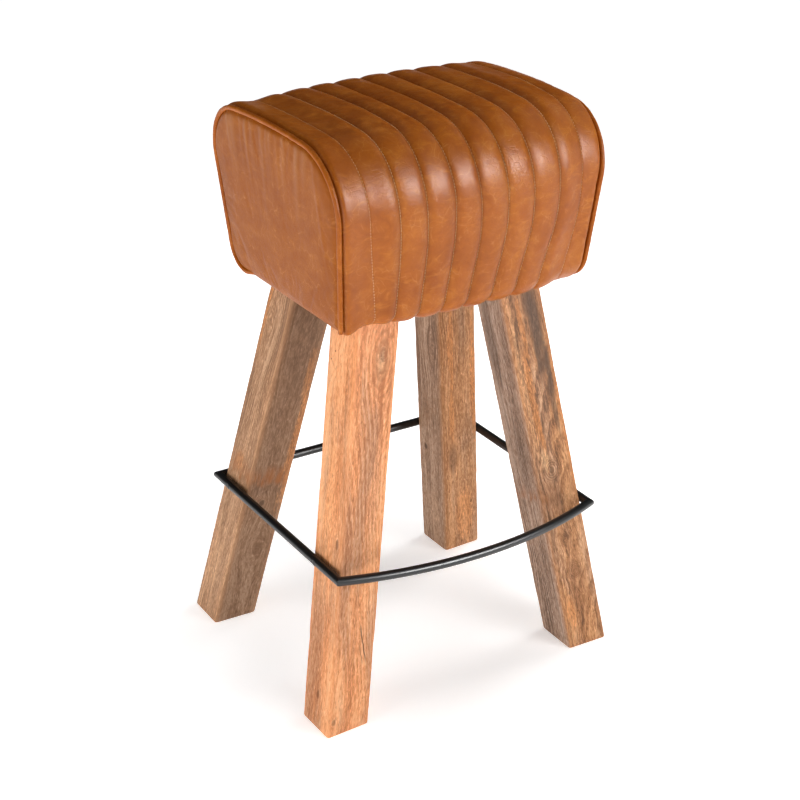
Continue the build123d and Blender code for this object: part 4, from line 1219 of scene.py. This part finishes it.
for nm, (sx, sy) in {"front_left": (-1, -1), "front_right": (1, -1), "back_left": (-1, 1), "back_right": (1, 1)}.items():
    d = np.array([-sx * SPX, -sy * SPY, 1.0])
    d /= np.linalg.norm(d)
    a = math.radians(2.0) * sx * sy
    e = np.array([math.cos(a), math.sin(a), 0.0])
    u = e - d * e.dot(d)
    u /= np.linalg.norm(u)
    w = np.cross(d, u)
    org = np.array([sx * FOOT_X, sy * FOOT_Y, 0.0])
    # cross-section: rounded square, dense enough to take wear along its edges
    hw, r = LEG / 2, 3.0
    sec, edge = [], []
    for k, (cx, cy) in enumerate(((1, -1), (1, 1), (-1, 1), (-1, -1))):
        c = np.array([cx * (hw - r), cy * (hw - r)])
        a0 = math.atan2(cy, cx) - math.pi / 4
        for j in range(6):
            t = a0 + j / 5 * math.pi / 2
            sec.append(c + r * np.array([math.cos(t), math.sin(t)]))
            edge.append(1.0)
        nxt = ((1, 1), (-1, 1), (-1, -1), (1, -1))[k]
        c2 = np.array([nxt[0] * (hw - r), nxt[1] * (hw - r)])
        t1 = a0 + math.pi / 2
        p_a = c + r * np.array([math.cos(t1), math.sin(t1)])
        p_b = c2 + r * np.array([math.cos(t1), math.sin(t1)])
        m_ = 20
        for j in range(1, m_):
            f = j / m_
            f = 0.5 - 0.5 * math.cos(math.pi * f) if False else f
            sec.append(p_a + (p_b - p_a) * f)
            dd = min(f, 1 - f) * np.linalg.norm(p_b - p_a)
            edge.append(math.exp(-dd / 2.2) * 0.9)
    sec, edge = np.array(sec), np.array(edge)
    nsec = len(sec)
    NR_ = 200
    vpos = np.linspace(0, 1, NR_ - 5)
    heights = np.concatenate([[0.0, 0.5, 1.2, 2.4, 4.5], 7.0 + (LEG_TOP - 7.0) * vpos])
    inset = np.interp(heights, [0, 0.5, 1.2, 2.4, 4.5], [2.0, 1.1, 0.5, 0.12, 0.0])
    pts = np.zeros((len(heights), nsec, 3))
    loc = np.zeros((len(heights), nsec, 3))
    cr = sec / np.linalg.norm(sec, axis=1, keepdims=True)
    for i, (z, ins) in enumerate(zip(heights, inset)):
        s2 = sec - np.sign(sec) * np.minimum(ins, np.abs(sec)) * (np.abs(sec) > hw - r - 0.1)
        # where each line of the section meets this height
        t = (z - (s2[:, 0] * u[2] + s2[:, 1] * w[2])) / d[2]
        pts[i] = org + np.outer(s2[:, 0], u) + np.outer(s2[:, 1], w) + np.outer(t, d)
        loc[i] = np.stack([s2[:, 0], s2[:, 1], t], 1)
    # worn edges, faces planed a little unevenly
    seed = {"front_left": 1, "front_right": 2, "back_left": 3, "back_right": 4}[nm]
    q = loc.reshape(-1, 3)
    wear = value_noise(np.stack([q[:, 0] / 40, q[:, 1] / 40, q[:, 2] / 26], 1), 100 + seed)
    wear2 = value_noise(np.stack([q[:, 0] / 30, q[:, 1] / 30, q[:, 2] / 7], 1), 120 + seed)
    ed = np.tile(edge, len(heights))
    inward = np.tile(cr, (len(heights), 1))
    amount = ed * (0.15 + 0.55 * np.clip(wear, 0, 1) + 0.25 * np.clip(wear2, 0, 1) ** 2)
    plane = 0.18 * value_noise(np.stack([q[:, 0] / 45, q[:, 1] / 45, q[:, 2] / 90], 1), 140 + seed)
    off = (amount - plane * (1 - ed))[:, None] * inward
    pts = pts.reshape(-1, 3) - (np.outer(off[:, 0], u) + np.outer(off[:, 1], w))
    pts[:, 2] = np.clip(pts[:, 2], 0.0, LEG_TOP)
    fc = [tuple(f) for f in grid_faces(len(heights), nsec, close_cols=True)]
    # end faces as rings towards the middle
    allp = list(pts)
    alll = list(q)
    alle = list(ed)
    for base_i, flipf in ((0, True), ((len(heights) - 1) * nsec, False)):
        prev = list(range(base_i, base_i + nsec))
        loop = np.array([allp[i] for i in prev])
        lloop = np.array([alll[i] for i in prev])
        cen, lcen = loop.mean(0), lloop.mean(0)
        for f in (0.75, 0.45, 0.15):
            cur = []
            for i in range(nsec):
                allp.append(cen + (loop[i] - cen) * f)
                alll.append(lcen + (lloop[i] - lcen) * f)
                alle.append(0.0)
                cur.append(len(allp) - 1)
            for i in range(nsec):
                j = (i + 1) % nsec
                fq = (prev[i], prev[j], cur[j], cur[i])
                fc.append(fq[::-1] if flipf else fq)
            prev = cur
        allp.append(cen)
        alll.append(lcen)
        alle.append(0.0)
        for i in range(nsec):
            j = (i + 1) % nsec
            fq = (prev[i], prev[j], len(allp) - 1)
            fc.append(fq[::-1] if flipf else fq)
    leg = mesh_object("leg_wood_" + nm, np.array(allp), fc)
    vector_attr(leg, "grain", np.array(alll) * 0.001)
    scalar_attr(leg, "edge", np.array(alle))
    leg.data.materials.append(wood("mango_" + nm, TONES[nm], GREY[nm], PITH[nm], TURN[nm], FREQ[nm], KNOTS[nm], CRACKS[nm],
                                   PATCHES[nm], RAIL_BAND[nm], streaks=STREAK[nm], face_shade=FACE_SHADE[nm]))
    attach(leg, "root")
    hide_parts("leg_" + nm)

# ------------------------------------------------------------------ carried-over CAD nodes
for n in ("foot_rail_front", "foot_rail_back", "foot_rail_left", "foot_rail_right", "foot_rail_screws"):
    ob = NODES[n]
    ob.data.materials.clear()
    ob.data.materials.append(BLACK)
for n in ("leg_bolts", "leg_bolt_washers", "frame_screws", "cover_staples"):
    NODES[n].data.materials.clear()
    NODES[n].data.materials.append(ZINC)
NODES["leg_inserts"].data.materials.clear()
NODES["leg_inserts"].data.materials.append(BRASS)
for n in ("base_board", "side_board_front", "side_board_back", "top_board", "end_former_left", "end_former_right"):
    NODES[n].data.materials.clear()
    NODES[n].data.materials.append(PLY)

# ------------------------------------------------------------------ dust cloth under the seat
xs = np.linspace(-161.0, 161.0, 108)
ys = np.linspace(-96.0, 96.0, 65)
XX, YY = np.meshgrid(xs, ys)
hole = np.maximum(np.abs(np.abs(XX) - 106.5), np.abs(np.abs(YY) - 73.1))
edge_d = np.minimum.reduce([161.0 - np.abs(XX), 96.0 - np.abs(YY), np.maximum(hole - 34.5, 0.0)])
sag = -1.9 * smoothstep(0, 38, edge_d)
wave = value_noise(np.stack([XX.ravel() / 46, YY.ravel() / 20, np.zeros(XX.size)], 1), 61).reshape(XX.shape)
rip = value_noise(np.stack([(XX.ravel() + 0.4 * YY.ravel()) / 13, YY.ravel() / 42, np.ones(XX.size)], 1), 67).reshape(XX.shape)
ZZ = 542.9 + sag + (0.7 * wave + 0.35 * rip) * smoothstep(1, 14, edge_d)
index = -np.ones(XX.shape, int)
live = hole >= 34.0
index[live] = np.arange(live.sum())
cloth_faces = []
for r_ in range(XX.shape[0] - 1):
    for c in range(XX.shape[1] - 1):
        q4 = (index[r_, c], index[r_, c + 1], index[r_ + 1, c + 1], index[r_ + 1, c])
        if min(q4) >= 0:
            cloth_faces.append(tuple(int(v) for v in q4[::-1]))
dust = mesh_object("dust_cloth", np.stack([XX[live], YY[live], ZZ[live]], 1), cloth_faces)
so = dust.modifiers.new("thick", "SOLIDIFY")
so.thickness = 0.0005
so.offset = 1.0
dust.data.materials.append(DUST)
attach(dust, "root")
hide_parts("dust_cover")

# ------------------------------------------------------------------ floor, light and camera
m = Nodes("floor_sweep")
fl_noise = m.noise(m.coord(), 3.0, 4.0, 0.5)
# the sweep glows, dimmer under the stool as painted shade there and brighter away from the object, so it stays white
# away from the object
reach = m.vmath("LENGTH", m.coord())
far = m.math("ADD", m.step(reach, 0.12, 0.50, 0.42, 0.78), m.step(reach, 0.50, 1.0, 0.0, 0.20))
m.finish(Base_Color=m.mix(m.math("MULTIPLY", fl_noise, 0.02), (0.90, 0.90, 0.90), (0.86, 0.86, 0.86)), Roughness=0.9,
         Specular_IOR_Level=0.1, Emission_Color=(1, 1, 1, 1), Emission_Strength=far)
me = bpy.data.meshes.new("floor")
me.from_pydata([(-30, -30, 0), (30, -30, 0), (30, 30, 0), (-30, 30, 0)], [], [(0, 1, 2, 3)])
floor = bpy.data.objects.new("floor", me)
SC.collection.objects.link(floor)
me.materials.append(m.mat)
m = Nodes("far_wall")
wall_noise = m.noise(m.coord(), 0.2, 3.0, 0.5)
m.finish(Base_Color=m.mix(m.math("MULTIPLY", wall_noise, 0.02), (0.5, 0.5, 0.5), (0.46, 0.46, 0.46)), Roughness=0.9,
         Specular_IOR_Level=0.1, Emission_Color=(1, 1, 1, 1), Emission_Strength=0.80)
steps = 64
ring_pts = [(29.0 * math.cos(2 * math.pi * i / steps), 29.0 * math.sin(2 * math.pi * i / steps)) for i in range(steps)]
me = bpy.data.meshes.new("far_wall")
me.from_pydata([(x, y, z) for z in (-0.01, 9.0) for x, y in ring_pts], [],
               [(i, (i + 1) % steps, steps + (i + 1) % steps, steps + i)[::-1] for i in range(steps)])
wall = bpy.data.objects.new("far_wall", me)
SC.collection.objects.link(wall)
me.materials.append(m.mat)
wall.visible_diffuse = False
wall.visible_glossy = False
wall.visible_shadow = False


def area(name, direction, dist, size, power, target=(0, 0.009, 0.60), size_y=None, color=(1, 1, 1)):
    la = bpy.data.lights.new(name, "AREA")
    la.shape = "RECTANGLE"
    la.size = size
    la.size_y = size_y or size
    la.energy = power
    la.color = color
    ob = bpy.data.objects.new(name, la)
    dv = Vector(direction).normalized()
    ob.location = Vector(target) + dv * dist
    ob.rotation_mode = "QUATERNION"
    ob.rotation_quaternion = dv.to_track_quat("Z", "Y")
    SC.collection.objects.link(ob)
    return ob


front = area("front", (1.14, -1.65, 0.28), 2.03, 0.95, 18.0, target=(0, -0.15, 0.72), size_y=0.5)
front.visible_glossy = False
# a strip box that only draws the soft highlight along the seat's front shoulder
strip = area("strip", (0.64, -1.70, 0.42), 1.86, 1.4, 88.0, target=(0, -0.15, 0.72), size_y=0.62)
strip.visible_diffuse = False
key = area("key", (0.15, -0.68, 0.72), 2.1, 1.0, 11.0)
key.visible_glossy = False
area("left", (-0.93, -0.24, -0.17), 1.45, 0.9, 14.5, target=(-0.15, 0.009, 0.42))
right_high = area("right_high", (0.80, 0.15, 0.55), 2.0, 0.9, 18.0)
right_high.visible_glossy = False
left_high = area("left_high", (-0.80, 0.05, 0.60), 2.0, 0.8, 6.0)
left_high.visible_glossy = False
rear = area("top", (0.10, 0.42, 0.90), 2.0, 1.2, 5.5)
rear.visible_glossy = False
world = bpy.data.worlds.new("studio")
SC.world = world
world.use_nodes = True
bg = world.node_tree.nodes["Background"]
bg.inputs[0].default_value = (1, 1, 1, 1)
bg.inputs[1].default_value = 0.02

cam_d = bpy.data.cameras.new("camera")
cam_d.sensor_width = 36.0
cam_d.lens = 1687.353805633991 * 36.0 / 800.0
cam_d.clip_start, cam_d.clip_end = 0.05, 200.0
cam = bpy.data.objects.new("camera", cam_d)
SC.collection.objects.link(cam)
yaw, pitch, roll = 0.5789928047704359, 0.44912929019208264, 0.02110655391074028
fwd = np.array([math.sin(yaw) * math.cos(pitch), math.cos(yaw) * math.cos(pitch), -math.sin(pitch)])
rt = np.array([math.cos(yaw), -math.sin(yaw), 0.0])
up = np.cross(rt, fwd)
r2 = math.cos(roll) * rt + math.sin(roll) * up
u2 = -math.sin(roll) * rt + math.cos(roll) * up
M = Matrix.Identity(4)
for i in range(3):
    M[i][0], M[i][1], M[i][2] = r2[i], u2[i], -fwd[i]
M[0][3], M[1][3], M[2][3] = -1.1379221698146988, -1.733035697876791 + 0.009, 1.3545132250695473
cam.matrix_world = M
SC.camera = cam
SC.view_settings.view_transform = "Standard"
SC.view_settings.look = "None"
SC.view_settings.exposure = 0.0
SC.view_settings.gamma = 1.0
